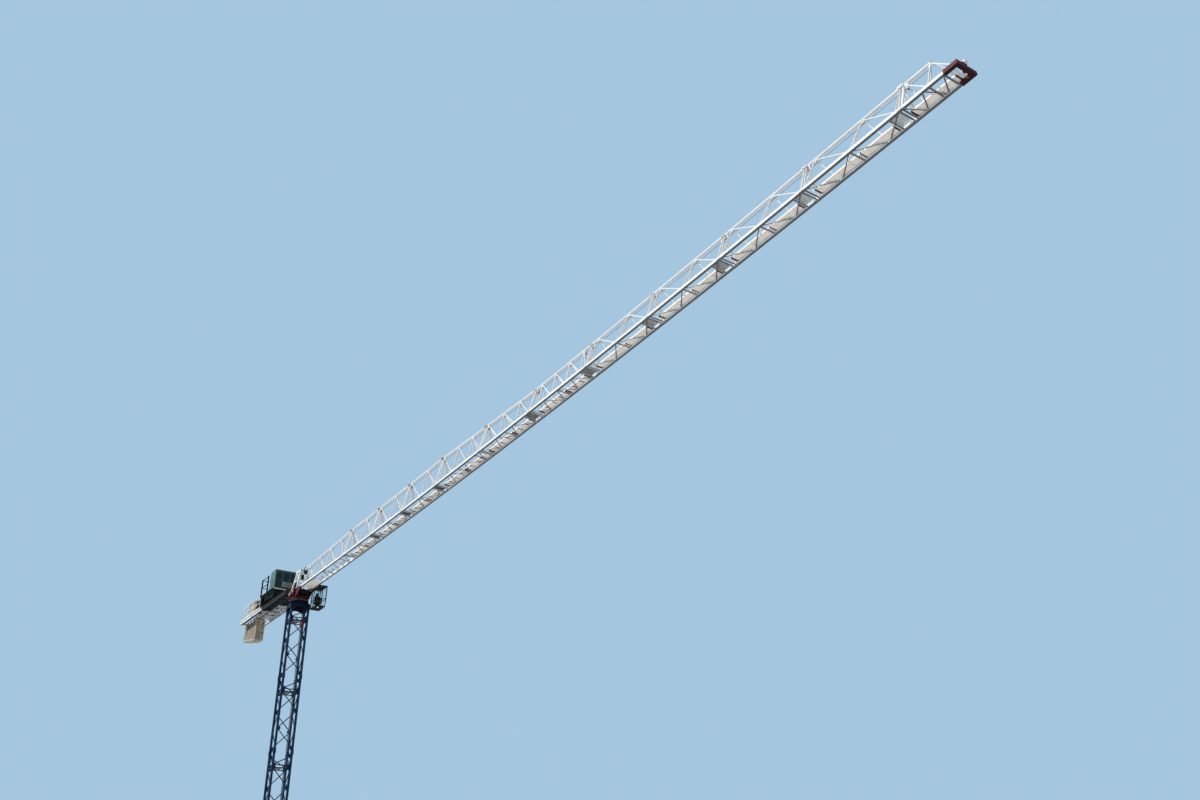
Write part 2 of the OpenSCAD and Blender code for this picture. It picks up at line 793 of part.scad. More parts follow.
module counter_jib() {
    color(off_white) {
        for (side = [-1, 1]) long_beam(counter_end, counter_x, side * counter_side);
        long_beam(counter_end, counter_x, ballast_y - rail_y);
        long_beam(counter_end, bay_front + 40, ballast_y + rail_y);
        for (x = [counter_end + 25, bay_front + 15])
            beam_y(x, -counter_side, counter_side, counter_z, 50, 70);
        for (i = [0:cross_count])
            beam_y(counter_x - 40 - i * cross_pitch, -counter_side, counter_side, counter_z, 50, 60);
        for (i = [1:cross_count])
            bar([counter_x - 40 - i * cross_pitch, ballast_y - rail_y, counter_z],
                [counter_x - 40 - (i - 1) * cross_pitch, counter_side, counter_z], 34);
    }
}

deck_front = -2650;
deck_inner = ballast_y - rail_y;
slot_y = ballast_y - slab_w / 2 - 20;
module counter_deck() {
    color(steel)
        translate([0, 0, counter_z + counter_beam_h / 2 + seat]) difference() {
            translate([counter_end, -counter_w / 2, 0])
                cube([deck_front - counter_end, counter_w / 2 + deck_inner, walk_t]);
            translate([counter_end - 1, slot_y, -1]) cube([bay_len + 1, counter_w, walk_t + 2]);
        }
}

deck_top = counter_z + counter_beam_h / 2 + seat + walk_t;
rail_d = 20;
module railing(x0, x1, y, z, h, spans) {
    step = (x1 - x0) / spans;
    for (i = [0:spans]) post(x0 + i * step, y, z, z + h, rail_d);
    for (t = [0.5, 1]) beam_x(x0, x1, y, z + t * h - rail_d / 2, rail_d - 4, rail_d - 4);
    beam_x(x0, x1, y, z + 32, 6, 60);
}

module counter_railing() {
    color(off_white)
        railing(counter_end + 20, deck_rear - 30, -counter_w / 2 + rail_d, deck_top + seat, rail_h, 5);
}

box_x = -4580;
box_len = 700;
box_w = 200;
box_h = 500;
module deck_box() {
    color(cream)
        translate([box_x, -counter_w / 2 + 2 * rail_d + 12, deck_top + seat]) {
            difference() {
                translate([0, 0, 24]) cube([box_len, box_w, box_h - 34]);
                for (i = [0, 1]) translate([30 + i * box_len / 2, -1, 60])
                    cube([box_len / 2 - 60, 5, box_h - 130]);
            }
            translate([-14, -6, box_h - 12]) cube([box_len + 28, box_w + 12, 14]);
            for (x = [20, box_len - 60]) translate([x, 10, 0]) cube([40, box_w - 20, 25]);
        }
}

// Raised deck with the machine housing and the posts behind it
housing_front = -1725;
deck_rear = housing_front - deck_len;
deck_z = counter_z + counter_beam_h / 2 + deck_rise - 40;
deck_t = 40;
deck_w = housing_w + 90;
joist_h = 70;
hull_x = -2775;
hull_w = 790;
hull_h = 270;
module housing_deck() {
    foot_z = counter_z + counter_beam_h / 2 + seat;
    color(dark_green) {
        translate([deck_rear, -deck_w / 2, deck_z]) cube([deck_len + 30, deck_w, deck_t]);
        translate([hull_x, -hull_w / 2, deck_z - hull_h])
            cube([housing_front + 10 - hull_x, hull_w, hull_h + 1]);
        for (i = [0:4])
            beam_y(deck_rear + 40 + i * (deck_len - 50) / 4, -counter_side - 20, counter_side + 20,
                deck_z - joist_h / 2 + 1, 40, joist_h);
        for (y = [-counter_side, counter_side]) {
            beam_x(deck_rear + 20, housing_front + 10, y, deck_z - joist_h / 2 + 1, 50, joist_h);
            for (x = [deck_rear + 70, housing_front - 60])
                post(x, y, foot_z + (y < 0 && x < deck_front ? walk_t + seat : 0), deck_z + 1, 50);
            bar([deck_rear + 70, y, foot_z + 60], [housing_front - 60, y, deck_z - joist_h / 2], 36);
        }
    }
}

// Housing: a cabinet with a rounded rear roof edge, three doors and side louvres
door_in = 7;
louvre_count = 7;
roof_r = 30;
module housing_profile() {
    difference() {
        square([housing_len, housing_h]);
        translate([0, housing_h - housing_r]) difference() {
            translate([-1, 0]) square([housing_r + 1, housing_r + 1]);
            translate([housing_r, 0]) circle(housing_r, $fn = 64);
        }
        translate([housing_len - roof_r, housing_h - roof_r]) difference() {
            square(roof_r + 1);
            circle(roof_r, $fn = 32);
        }
    }
}

module door_recess(y, w) {
    translate([housing_len - door_in, y, 50]) cube([door_in + 1, w, housing_h - 130]);
}

module louvres(x, z, w, pitch) {
    for (i = [0:louvre_count - 1]) translate([x, 0, z + i * pitch]) cube([w, 8, pitch * 0.45]);
}

module housing() {
    door_w = housing_w / 3 - 20;
    color(dark_green)
        translate([housing_front - housing_len, 0, deck_z + deck_t + seat])
            difference() {
                translate([0, housing_w / 2, 0])
                    rotate([90, 0, 0]) linear_extrude(housing_w) housing_profile();
                for (i = [-1, 0, 1]) door_recess(i * housing_w / 3 - door_w / 2, door_w);
                for (y = [-housing_w / 2 - 1, housing_w / 2 - 7]) translate([0, y, 0])
                    louvres(180, 90, housing_len - 300, 44);
            }
}

rear_post = 44;
module housing_railing() {
    z0 = deck_z + deck_t + seat;
    y0 = deck_w / 2 - rear_post / 2 - 6;
    color(steel)
        for (side = [-1, 1]) {
            for (x = [deck_rear + 30, housing_front - housing_len - 190])
                post(x, side * y0, z0, z0 + rear_post_h, rear_post);
            for (t = [0.5, 0.97])
                beam_x(deck_rear + 30, housing_front - housing_len - 190, side * y0, z0 + t * rear_post_h,
                    rail_d, rail_d);
        }
    color(steel)
        for (t = [0.5, 0.97])
            beam_y(deck_rear + 30, -y0, y0, z0 + t * rear_post_h, rail_d, rail_d);
}

// Cabinet behind the raised deck, across the counter-jib
cabinet_len = 560;
cabinet_h = 400;
cabinet_w = 445;
cabinet_y = -395;
module rear_cabinet() {
    z0 = counter_z + counter_beam_h / 2 + 2 * seat + walk_t;
    color(teal)
        translate([deck_rear - 40 - cabinet_len, cabinet_y, z0]) difference() {
            union() {
                translate([0, 0, 30]) cube([cabinet_len, cabinet_w, cabinet_h - 30]);
                for (x = [20, cabinet_len - 70])
                    translate([x, 0, 0]) cube([50, deck_inner - cabinet_y - 5, 31]);
            }
            for (i = [0:2])
                translate([cabinet_len - 6, 20 + i * cabinet_w / 3, 60])
                    cube([7, cabinet_w / 3 - 40, cabinet_h - 100]);
            for (y = [-1, cabinet_w - 7])
                translate([0, y, 0]) louvres(60, 90, cabinet_len - 120, 36);
        }
}

// Hoist winch: a flanged drum between two bearing plates, with its motor and gearbox
winch_x = -3480;
winch_y = 110;
skid_h = 40;
drum_z = skid_h + 204;
drum_r = 105;
drum_w = 260;
cheek_r = 138;
winch_rear = 380;
winch_front = 300;
plate_w = 300;
plate_h = 205;
motor_back = 270;
motor_r = 62;
module winch_plate(y, t) {
    translate([0, y + t, skid_h + 44])
        rotate([90, 0, 0])
            linear_extrude(t)
                polygon([[-plate_w / 2, 0], [plate_w / 2, 0], [plate_w / 2, 30], [60, plate_h], [-60, plate_h],
                    [-plate_w / 2, 30]]);
}

module hoist_winch() {
    color(steel)
        translate([winch_x, 0, counter_z + counter_beam_h / 2 + seat]) {
            for (x = [30 - winch_rear, -40, winch_front - 30])
                beam_y(x, deck_inner + 4, winch_y + drum_w + 30, skid_h / 2, 60, skid_h);
            for (y = [winch_y, winch_y + drum_w]) {
                beam_x(-winch_rear, winch_front, y, skid_h + 21, 40, 50);
                winch_plate(y - 7, 14);
            }
            translate([0, winch_y, drum_z]) rotate([-90, 0, 0]) {
                cylinder(h = drum_w, r = drum_r, $fn = 40);
                for (z = [8, drum_w - 18]) translate([0, 0, z]) cylinder(h = 10, r = cheek_r, $fn = 40);
                translate([0, 0, drum_w + 5]) cylinder(h = 52, r = 74, $fn = 32);
            }
            translate([-motor_back, winch_y - 10, skid_h + 44]) {
                translate([-50, 0, 0]) cube([100, drum_w + 20, 20]);
                translate([0, 20, 76]) rotate([-90, 0, 0]) {
                    cylinder(h = drum_w - 20, r = motor_r, $fn = 32);
                    translate([0, 0, drum_w - 21]) cylinder(h = 24, r = 50, $fn = 32);
                }
                translate([motor_r - 20, 60, 60]) cube([50, 90, 60]);
            }
        }
}

// Counterweight: concrete slabs hung in a row from the inner beams
slab_gap = 4;
hook_clear = 0.3;
hook_t = 16;
pocket_in = 24;
pocket_low = 520;
first_slab_x = counter_end - 75;
module hook(y) {
    hole_h = counter_beam_h + hook_clear;
    translate([slab_t / 2 - 30, y, 0])
        difference() {
            translate([0, -flange_w / 2 - hook_t, -20])
                cube([60, flange_w + 2 * hook_t, hole_h + 20 + slab_gap + hook_t]);
            translate([-1, -flange_w / 2 - 2, 0]) cube([62, flange_w + 4, hole_h + slab_gap]);
        }
}

module slab(i, pocket_x0, pocket_x1) {
    h = slab_h + i * slab_step;
    translate([first_slab_x + i * slab_t, ballast_y, counter_z - counter_beam_h / 2 - slab_gap]) {
        difference() {
            translate([0, -slab_w / 2, -h]) cube([slab_t - seat, slab_w, h]);
            for (side = [-1, 1])
                translate([pocket_x0, side * slab_w / 2 - pocket_in, jib_level - pocket_low
                        - counter_z + counter_beam_h / 2])
                    cube([pocket_x1 - pocket_x0, 2 * pocket_in, 2 * slab_h]);
        }
        for (y = [-rail_y, rail_y]) hook(y);
    }
}

module short_counterweight() {
    color(concrete) {
        slab(0, slab_t - 60, slab_t + 1);
        slab(1, -1, slab_t + 1);
    }
}

module tall_counterweight() {
    color(concrete) {
        slab(2, -1, slab_t + 1);
        slab(3, -1, slab_t - 45);
    }
}

base_frame();
mast_section(1);  // mast_section_1
mast_section(2);  // mast_section_2
mast_section(3);  // mast_section_3
mast_section(4);  // mast_section_4
mast_section(5);  // mast_section_5
mast_collars();
mast_ladder();
mast_platforms();
slew_adapter();
slew_outer_race();
slew_inner_race();
turntable();
head_frame();
jib_root();
jib_section(1);  // jib_section_2
jib_section(2);  // jib_section_3
jib_section(3);  // jib_section_4
jib_section(4);  // jib_section_5
jib_section(5);  // jib_section_6
jib_section(6);  // jib_section_7
jib_section(7);  // jib_section_8
jib_section(8);  // jib_section_9
jib_section(9);  // jib_section_10
jib_section(10);  // jib_section_11
jib_tip();
jib_nose();
jib_pins();
jib_catwalk();
joint_gratings();
root_plate();
cab_frame();
cab_glass();
housing_deck();
housing();
housing_railing();
counter_jib();
counter_deck();
counter_railing();
hoist_winch();
tall_counterweight();
short_counterweight();
deck_box();
rear_cabinet();
slew_motors();
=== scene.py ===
"""A flat-top tower crane at half its size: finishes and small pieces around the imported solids.

Lengths are metres in the crane's own frame: Z is the slewing axis, the jib points along +X.
"""

import json
import math

import bpy
import numpy as np
from mathutils import Euler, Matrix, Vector


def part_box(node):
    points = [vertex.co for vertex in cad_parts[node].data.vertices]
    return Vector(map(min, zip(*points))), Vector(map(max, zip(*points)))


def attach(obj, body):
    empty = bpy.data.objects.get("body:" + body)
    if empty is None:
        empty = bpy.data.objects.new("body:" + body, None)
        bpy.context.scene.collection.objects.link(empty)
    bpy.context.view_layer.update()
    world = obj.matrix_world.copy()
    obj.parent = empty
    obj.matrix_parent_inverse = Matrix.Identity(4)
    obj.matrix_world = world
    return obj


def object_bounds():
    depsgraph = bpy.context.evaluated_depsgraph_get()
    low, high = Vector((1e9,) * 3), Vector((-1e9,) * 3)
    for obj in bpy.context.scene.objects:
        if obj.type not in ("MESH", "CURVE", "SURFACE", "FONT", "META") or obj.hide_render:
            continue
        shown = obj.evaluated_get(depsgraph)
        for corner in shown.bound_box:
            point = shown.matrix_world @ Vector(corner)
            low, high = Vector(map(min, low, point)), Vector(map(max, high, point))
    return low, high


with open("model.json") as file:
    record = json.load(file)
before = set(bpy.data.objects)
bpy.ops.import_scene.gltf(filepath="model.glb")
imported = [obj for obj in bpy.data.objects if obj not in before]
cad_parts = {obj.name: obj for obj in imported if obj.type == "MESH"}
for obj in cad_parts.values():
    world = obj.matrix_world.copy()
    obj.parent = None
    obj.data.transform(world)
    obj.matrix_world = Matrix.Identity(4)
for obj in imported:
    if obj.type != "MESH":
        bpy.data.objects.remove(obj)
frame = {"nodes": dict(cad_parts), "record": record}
box_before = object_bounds()
TURN = 2 * np.pi
X_AXIS, Y_AXIS, Z_AXIS = np.eye(3)

# Levels
PIN_R = 0.017
JIB_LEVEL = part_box("jib_pins")[0].z + PIN_R
TURNTABLE_H = 0.320
RING_PLATE = 0.030
MAST_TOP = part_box("mast_section_5")[1].z
FOOT_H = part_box("mast_section_1")[0].z

# Jib: joints on a rising arc, as in the solids
HALF_W = 0.225
LOW_CHORD = 0.064
ARC_RISE = 0.010
ARC_RADIUS = 493.0
JOINT_X = np.array([
    0.690, 4.525, 6.755, 8.985, 11.215, 13.835, 16.455, 19.075, 21.575, 24.075, 26.575, 29.075, 30.260
])
JOINTS = np.arange(1, len(JOINT_X) - 1)
TIP = JOINTS[-1]
FIRST_OUTER = 7
PLAIN_JOINT = 4


def points_at(x, y, z):
    """Points from their coordinates, each an array or one number for all."""
    return np.stack(np.broadcast_arrays(x, y, z), -1)


def rise(x):
    """Height of the jib's arc: a slope and a parabola, x r + x^2 / 2R."""
    return ARC_RISE * x + x * x / (2 * ARC_RADIUS)


JOINT_Z = rise(JOINT_X) - rise(JOINT_X[0])
SPAN = np.diff(points_at(JOINT_X, 0, JOINT_Z), axis=0)
LENGTH = np.linalg.norm(SPAN, axis=1)
ALONG = SPAN / LENGTH[:, None]
UP = points_at(-ALONG[:, 2], 0, ALONG[:, 0])
# Height of the top chord over the lower ones at each joint
TOP_H = np.array([0.780, 0.915, 0.915, 0.915, 0.915, 0.8105, *np.linspace(0.706, 0.675, 6), 0.665])


def on_jib(k, x, y, z):
    """Points of section k: x along it from its joint, y across, z square to its lower chords."""
    k, x, y, z = np.broadcast_arrays(k, x, y, z)
    start = points_at(JOINT_X[k], 0, JIB_LEVEL + JOINT_Z[k])
    return start + x[..., None] * ALONG[k] + y[..., None] * Y_AXIS + z[..., None] * UP[k]


# Shapes: arrays of points, and groups of faces with the same number of corners


def unit(v):
    """Vectors divided by their lengths."""
    return v / np.linalg.norm(v, axis=-1, keepdims=True)


def join(*shapes):
    """One shape from several: the points are stacked, and each shape's faces count on from there."""
    points, faces, start = [], {}, 0
    for part, groups in shapes:
        points.append(part)
        for group in groups:
            faces.setdefault(group.shape[1], []).append(group + start)
        start += len(part)
    return np.concatenate(points), [np.concatenate(group) for group in faces.values()]


def repeat(shape, frames):
    """The shape once in every frame: p goes to R p + t, with R and t side by side."""
    points, groups = shape
    moved = np.einsum("nij,pj->npi", frames[:, :, :3], points) + frames[:, None, :, 3]
    step = np.arange(len(frames))[:, None, None] * len(points)
    return moved.reshape(-1, 3), [(g[None] + step).reshape(-1, g.shape[1]) for g in groups]


def frames_at(origins, x_axis, y_axis):
    """Frames at the origins: x as given, z square to x and y, and y square to both."""
    origins = np.atleast_2d(origins)
    x = unit(np.broadcast_to(x_axis, origins.shape))
    z = unit(np.cross(x, np.broadcast_to(y_axis, origins.shape)))
    return np.stack([x, np.cross(z, x), z, origins], axis=2)


def facing(origins, normal):
    """Frames at the origins whose z is the normal."""
    z = unit(np.broadcast_to(normal, np.atleast_2d(origins).shape))
    other = np.where(np.abs(z[:, 2:]) > 0.9, X_AXIS, Z_AXIS)
    x = np.cross(other, z)
    return frames_at(origins, x, np.cross(z, x))


def sideways(origins):
    """Frames at the origins: x ahead, y up, and z across the crane, towards -Y."""
    return frames_at(origins, X_AXIS, Z_AXIS)


def ahead(origins):
    """Frames at the origins: x across, y up, and z ahead, towards +X."""
    return frames_at(origins, Y_AXIS, Z_AXIS)


def outward(points):
    """For each point the direction across the crane to the side on which it lies."""
    return np.sign(np.asarray(points) * Y_AXIS)


def move(shape, offset):
    """The shape shifted by the offset."""
    return shape[0] + np.asarray(offset, float), shape[1]


def rings(grid):
    """Quads between the rows of a grid whose rows are closed loops, and a flat cap at each end."""
    rows, columns = grid.shape[:2]
    i = np.arange(rows * columns).reshape(rows, columns)
    j = np.roll(i, -1, axis=1)
    quads = np.stack([i[:-1], j[:-1], j[1:], i[1:]], axis=-1).reshape(-1, 4)
    return grid.reshape(-1, 3), [quads, i[:1, ::-1], i[-1:]]


def drawn_in(profile, inset):
    """The profile with each corner moved inwards along the mean of its two edge normals."""
    edge = unit(np.roll(profile, -1, 0) - profile)
    normal = np.stack([edge[:, 1], -edge[:, 0]], 1)
    before = np.roll(normal, 1, 0)
    return profile - inset * (normal + before) / (1 + (normal * before).sum(1, keepdims=True))


def plate(profile, thickness, edge=0.001):
    """A plate about z = 0: the profile at four levels, drawn in at both faces for its chamfers."""
    profile = np.asarray(profile, float)
    levels = [(edge, 0), (0, edge), (0, thickness - edge), (edge, thickness)]
    rows = [np.c_[drawn_in(profile, inset), 0 * profile[:, 0] + z - thickness / 2] for inset, z in levels]
    return rings(np.stack(rows))


def rounded(width, height, radius, steps=4):
    """A rectangle about the origin with a quarter circle at each corner."""
    quarter = np.linspace(0, TURN / 4, steps)
    corner = np.array([[1, 1], [-1, 1], [-1, -1], [1, -1]]) * (np.array([width, height]) / 2 - radius)
    angle = quarter + np.arange(4)[:, None] * TURN / 4
    return (corner[:, None] + radius * np.stack([np.cos(angle), np.sin(angle)], -1)).reshape(-1, 2)


def block(centre, size, edge=0.003, corner=0.006):
    """A chamfered block: a rounded rectangle in x and y carried up through z."""
    corner = min(corner, 0.45 * min(size[0], size[1]))
    edge = min(edge, 0.3 * size[2])
    return move(plate(rounded(size[0], size[1], corner, 3), size[2], edge), centre)


def blocks(rows, edge=0.003, corner=0.006):
    """Chamfered blocks as one shape: each row holds a centre and then a size."""
    return join(*(block(row[:3], row[3:], edge, corner) for row in rows))


def turned(profile, sides=24):
    """A turned body about z: pairs of radius and height, swept round in equal steps."""
    r, z = np.asarray(profile, float).T
    a = np.arange(sides) * TURN / sides
    return rings(points_at(np.outer(r, np.cos(a)), np.outer(r, np.sin(a)), z[:, None]))


def carried(path, radius, sides=10, reference=(0, 1, 0)):
    """A round bar: a circle in the plane square to the path, carried along its points."""
    path = np.asarray(path, float)
    ahead = unit(np.gradient(path, axis=0))
    side = unit(np.cross(ahead, reference))
    up = np.cross(ahead, side)
    a = np.arange(sides) * TURN / sides
    r = np.broadcast_to(radius, len(path))[:, None, None]
    ring = np.cos(a)[None, :, None] * side[:, None] + np.sin(a)[None, :, None] * up[:, None]
    return rings(path[:, None] + r * ring)


def bars(starts, ends, radius, sides=8):
    """Straight round bars: one bar of unit length is stretched from each start to its end."""
    starts = np.atleast_2d(starts)
    along = ends - starts
    frames = facing(starts, along)
    frames[:, :, :2] *= radius
    frames[:, :, 2] = along
    return repeat(turned([(1, 0), (1, 1)], sides), frames)


def pillow(centre, size, squareness=0.45, rows=13, columns=28):
    """A crowned pad: x, y and z are half the size times cosines and sines to a power below one."""
    nearly_to_pole = 0.48
    lat = np.linspace(-nearly_to_pole, nearly_to_pole, rows) * np.pi
    lon = np.arange(columns) * TURN / columns
    bend = lambda v, power: np.sign(v) * np.abs(v) ** power
    out, (c, s) = bend(np.cos(lat), squareness), bend([np.cos(lon), np.sin(lon)], squareness)
    grid = points_at(np.outer(out, c), np.outer(out, s), bend(np.sin(lat), 0.8)[:, None])
    return rings(grid * np.asarray(size) / 2 + np.asarray(centre))


def handle(half, leg, foot, top, radius):
    """A bar along y at height top, on two legs that start at height foot."""
    starts = [(0, -half, top), (0, -leg, foot), (0, leg, foot)]
    ends = [(0, half, top), (0, -leg, top), (0, leg, top)]
    return bars(starts, ends, radius)


# A washer and a chamfered hexagon head, for a washer of radius 1
HEX_BOLT = join(
    turned([(1.0, 0), (1.0, 0.16)], 12),
    turned([(0.78, 0.16), (0.78, 0.70), (0.66, 0.78)], 6),
)


def bolts(points, normal, size):
    """Hexagon heads on washers: radius size, standing along the normal."""
    frames = facing(points, normal)
    frames[:, :, :3] *= size
    return repeat(HEX_BOLT, frames)


def in_scene(name, data):
    """A new object in the scene."""
    made = bpy.data.objects.new(name, data)
    bpy.context.scene.collection.objects.link(made)
    return made


def piece(name, shape, material, body="upperworks", smooth=False):
    """Puts a shape into a mesh object that rides on a body, with its finish."""
    points, groups = shape
    corners = np.concatenate([g.ravel() for g in groups])
    sizes = np.concatenate([np.full(len(g), g.shape[1]) for g in groups])
    mesh = bpy.data.meshes.new(name)
    mesh.vertices.add(len(points))
    mesh.vertices.foreach_set("co", np.ascontiguousarray(points, np.float32).ravel())
    mesh.loops.add(len(corners))
    mesh.loops.foreach_set("vertex_index", corners.astype(np.int32))
    mesh.polygons.add(len(sizes))
    mesh.polygons.foreach_set("loop_start", (np.cumsum(sizes) - sizes).astype(np.int32))
    mesh.update(calc_edges=True)
    mesh.validate()
    if smooth:
        mesh.shade_smooth()
        mesh.set_sharp_from_angle(angle=math.radians(35))
    mesh.materials.append(material)
    obj = in_scene(name, mesh)
    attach(obj, body)
    return obj


def upper_piece(name, shape, material, smooth=False):
    """A piece of the upperworks whose heights count from the jib's level."""
    return piece(name, move(shape, (0, 0, JIB_LEVEL)), material, smooth=smooth)


# Finishes

# Colours of age and dirt, and painted shade for undersides and for the slabs' hollows
FADED = (0.68, 0.67, 0.66)
# Painted shade: the colour that faces looking down are darkened towards
UNDERSIDE_PAINTED_SHADE = (0.10, 0.10, 0.105)
RUST_STAIN = (0.30, 0.13, 0.05)
RUST = (0.19, 0.085, 0.04)
GREASE = (0.035, 0.03, 0.025)
ZINC_BLOOM = (0.45, 0.46, 0.44)
WEATHERED_ZINC = (0.62, 0.62, 0.59)
ZINC_DIRT = (0.07, 0.065, 0.05)
DARK_CEMENT = (0.33, 0.28, 0.23)
PALE_CEMENT = (0.57, 0.51, 0.43)
DAMP_CEMENT = (0.17, 0.13, 0.09)
PITTED_CEMENT = (0.13, 0.11, 0.09)
HOLLOW_SHADE = (0.50, 0.53, 0.47)
HOOK_RUST = (0.10, 0.055, 0.035)
HOOK_STEEL = (0.20, 0.17, 0.15)
CLEAN_PANE = (0.90, 0.96, 0.95)
DUSTY_PANE = (0.80, 0.84, 0.82)
DUST = (0.12, 0.11, 0.10)
LENS_FILM = (0.95, 0.95, 0.93)


def feed(node, values):
    """Links the node's inputs to sockets, or sets them, by name or number; colours are opaque."""
    for key, value in values.items():
        if isinstance(value, bpy.types.NodeSocket):
            node.id_data.links.new(value, node.inputs[key])
        else:
            socket = node.inputs[key]
            socket.default_value = (*value, 1) if socket.type == "RGBA" else value


def add(tree, kind, inputs=None, **settings):
    """A shader node with its settings and its inputs."""
    made = tree.nodes.new("ShaderNode" + kind)
    for key, value in settings.items():
        setattr(made, key, value)
    feed(made, inputs or {})
    return made


def tree_of(*values):
    """The node tree that holds the first socket among the values."""
    return next(value.id_data for value in values if isinstance(value, bpy.types.NodeSocket))


def reckoned(operation, a, b=0.0):
    """A step of arithmetic on sockets or numbers."""
    return add(tree_of(a, b), "Math", {0: a, 1: b}, operation=operation).outputs[0]


def times(a, b):
    """The product of two sockets or numbers."""
    return reckoned("MULTIPLY", a, b)


def plus(a, b):
    """The sum of two sockets or numbers."""
    return reckoned("ADD", a, b)


def stepped(value, low, high):
    """A soft step: 0 at low, 1 at high."""
    ends = {0: value, 1: low, 2: high}
    return add(value.id_data, "MapRange", ends, interpolation_type="SMOOTHSTEP").outputs[0]


def blended(factor, a, b, mode="MIX"):
    """Two colours mixed by a factor."""
    parts = {0: factor, 6: a, 7: b}
    return add(tree_of(factor, a, b), "Mix", parts, data_type="RGBA", blend_type=mode).outputs[2]


def grained(amount, colour, grain):
    """The colour with a grey grain laid over it."""
    grey = add(grain.id_data, "CombineColor", {0: grain, 1: grain, 2: grain}).outputs[0]
    return blended(amount, colour, grey, "OVERLAY")


def cloud(place, scale, detail=4.0, roughness=0.55):
    """Noise between 0 and 1."""
    values = {"Vector": place, "Scale": scale, "Detail": detail, "Roughness": roughness}
    return add(place.id_data, "TexNoise", values).outputs[0]


def cells(place, scale):
    """Voronoi cells: the distance to the nearest centre and a colour for each cell."""
    return add(place.id_data, "TexVoronoi", {"Vector": place, "Scale": scale}, feature="F1").outputs


def stretched(place, scale):
    """The place scaled along its axes, which draws a texture out."""
    return add(place.id_data, "Mapping", {"Vector": place, "Scale": scale}).outputs[0]


def axes(vector):
    """The x, y and z of a vector."""
    return add(vector.id_data, "SeparateXYZ", {0: vector}).outputs


def surface_normal(tree):
    """The x, y and z of the surface's normal."""
    return axes(add(tree, "NewGeometry").outputs["Normal"])


def bumped(height, strength, depth):
    """A normal that lets the height stand out."""
    return add(height.id_data, "Bump", {"Strength": strength, "Distance": depth, "Height": height}).outputs[0]


def make_effect(name, colours, amounts, build):
    """A node group, built once for many materials: from a place, colours and amounts, build works out
    a colour, a roughness and a height."""
    tree = bpy.data.node_groups.new(name, "ShaderNodeTree")
    inputs = [("Vector", ["Vector"]), ("Color", colours), ("Float", amounts)]
    outputs = [("Color", ["Color"]), ("Float", ["Roughness", "Height"])]
    for way, rows in (("INPUT", inputs), ("OUTPUT", outputs)):
        for kind, labels in rows:
            for label in labels:
                tree.interface.new_socket(label, in_out=way, socket_type="NodeSocket" + kind)
    made = build(tree.nodes.new("NodeGroupInput").outputs)
    feed(tree.nodes.new("NodeGroupOutput"), dict(enumerate(made)))
    return tree


def weathered_and_under_shaded(given):
    """Faded paint: clouds dull it, dirt runs down it, undersides get painted shade, and chips bare the metal.
    """
    place = given["Vector"]
    dull = times(stepped(cloud(place, 0.9, 5), 0.38, 0.68), given["Fade"])
    paint = grained(0.22, blended(dull, given["Paint"], FADED, "MULTIPLY"), cloud(place, 55, 3))
    runs = cloud(stretched(place, (1, 1, 0.09)), 9, 6, 0.62)
    run = times(stepped(runs, 0.5, 0.74), given["Streaks"])
    # Painted shade: faces that look down are darkened by the Under amount.
    below = times(stepped(surface_normal(place.id_data)[2], -0.30, -0.80), given["Under"])
    dirt_and_under_shade = blended(below, blended(run, paint, given["Dirt"]), UNDERSIDE_PAINTED_SHADE, "MULTIPLY")
    speck = cloud(place, 13, 9, 0.74)
    bared = times(stepped(speck, 0.645, 0.665), given["Chips"])
    halo = times(stepped(speck, 0.60, 0.66), times(given["Chips"], 0.5))
    colour = blended(bared, blended(halo, dirt_and_under_shade, RUST_STAIN), given["Bare"])
    roughness = plus(given["Roughness"], times(plus(run, bared), 0.25))
    return colour, roughness, plus(times(cloud(place, 160, 2), 0.10), times(bared, -0.5))


def greased(given):
    """Machined steel: fine scratches, darker patches of grease and a little rust."""
    place = given["Vector"]
    patch = stepped(cloud(place, 4.5, 6), 0.45, 0.6)
    scratch = cloud(stretched(place, (1, 30, 1)), 30, 3)
    grey = blended(times(patch, given["Grease"]), given["Steel"], GREASE)
    rust = times(stepped(cloud(place, 21, 8, 0.7), 0.60, 0.70), 0.7)
    roughness = plus(times(scratch, 0.35), times(plus(rust, given["Roughness"]), 0.6))
    return blended(rust, grey, RUST), roughness, scratch


def bloomed(given):
    """Hot-dip zinc gone dull: crystal cells, white bloom, a paler part and dirt."""
    place = given["Vector"]
    tone = add(place.id_data, "SeparateColor", {0: cells(place, 60.0)["Color"]}).outputs[0]
    bloom = stepped(cloud(place, 7, 7, 0.65), 0.52, 0.7)
    zinc = blended(times(bloom, 0.4), blended(tone, given["Dark"], given["Light"]), ZINC_BLOOM)
    zinc = blended(given["Pale"], zinc, WEATHERED_ZINC)
    grime = stepped(cloud(place, 2.2, 8, 0.6), 0.48, 0.66)
    return blended(times(grime, 0.4), zinc, ZINC_DIRT), plus(0.42, times(bloom, 0.3)), bloom


def dusted(given):
    """Rubber and cloth: fine grain with dust in it."""
    place = given["Vector"]
    dust = stepped(cloud(place, 8, 5), 0.5, 0.75)
    colour = blended(times(dust, 0.5), given["Black"], DUST)
    return colour, plus(given["Roughness"], times(dust, 0.2)), cloud(place, given["Grain"], 2)


# Weathering, and painted shade on undersides through its Under amount
WEATHERING_AND_UNDER_SHADE = make_effect("weathering_and_under_shade", ["Paint", "Dirt", "Bare"],
                         ["Fade", "Streaks", "Chips", "Roughness", "Under"], weathered_and_under_shaded)
GREASING = make_effect("greasing", ["Steel"], ["Grease", "Roughness"], greased)
BLOOMING = make_effect("zinc_bloom", ["Dark", "Light"], ["Pale"], bloomed)
DUSTING = make_effect("dusting", ["Black"], ["Grain", "Roughness"], dusted)
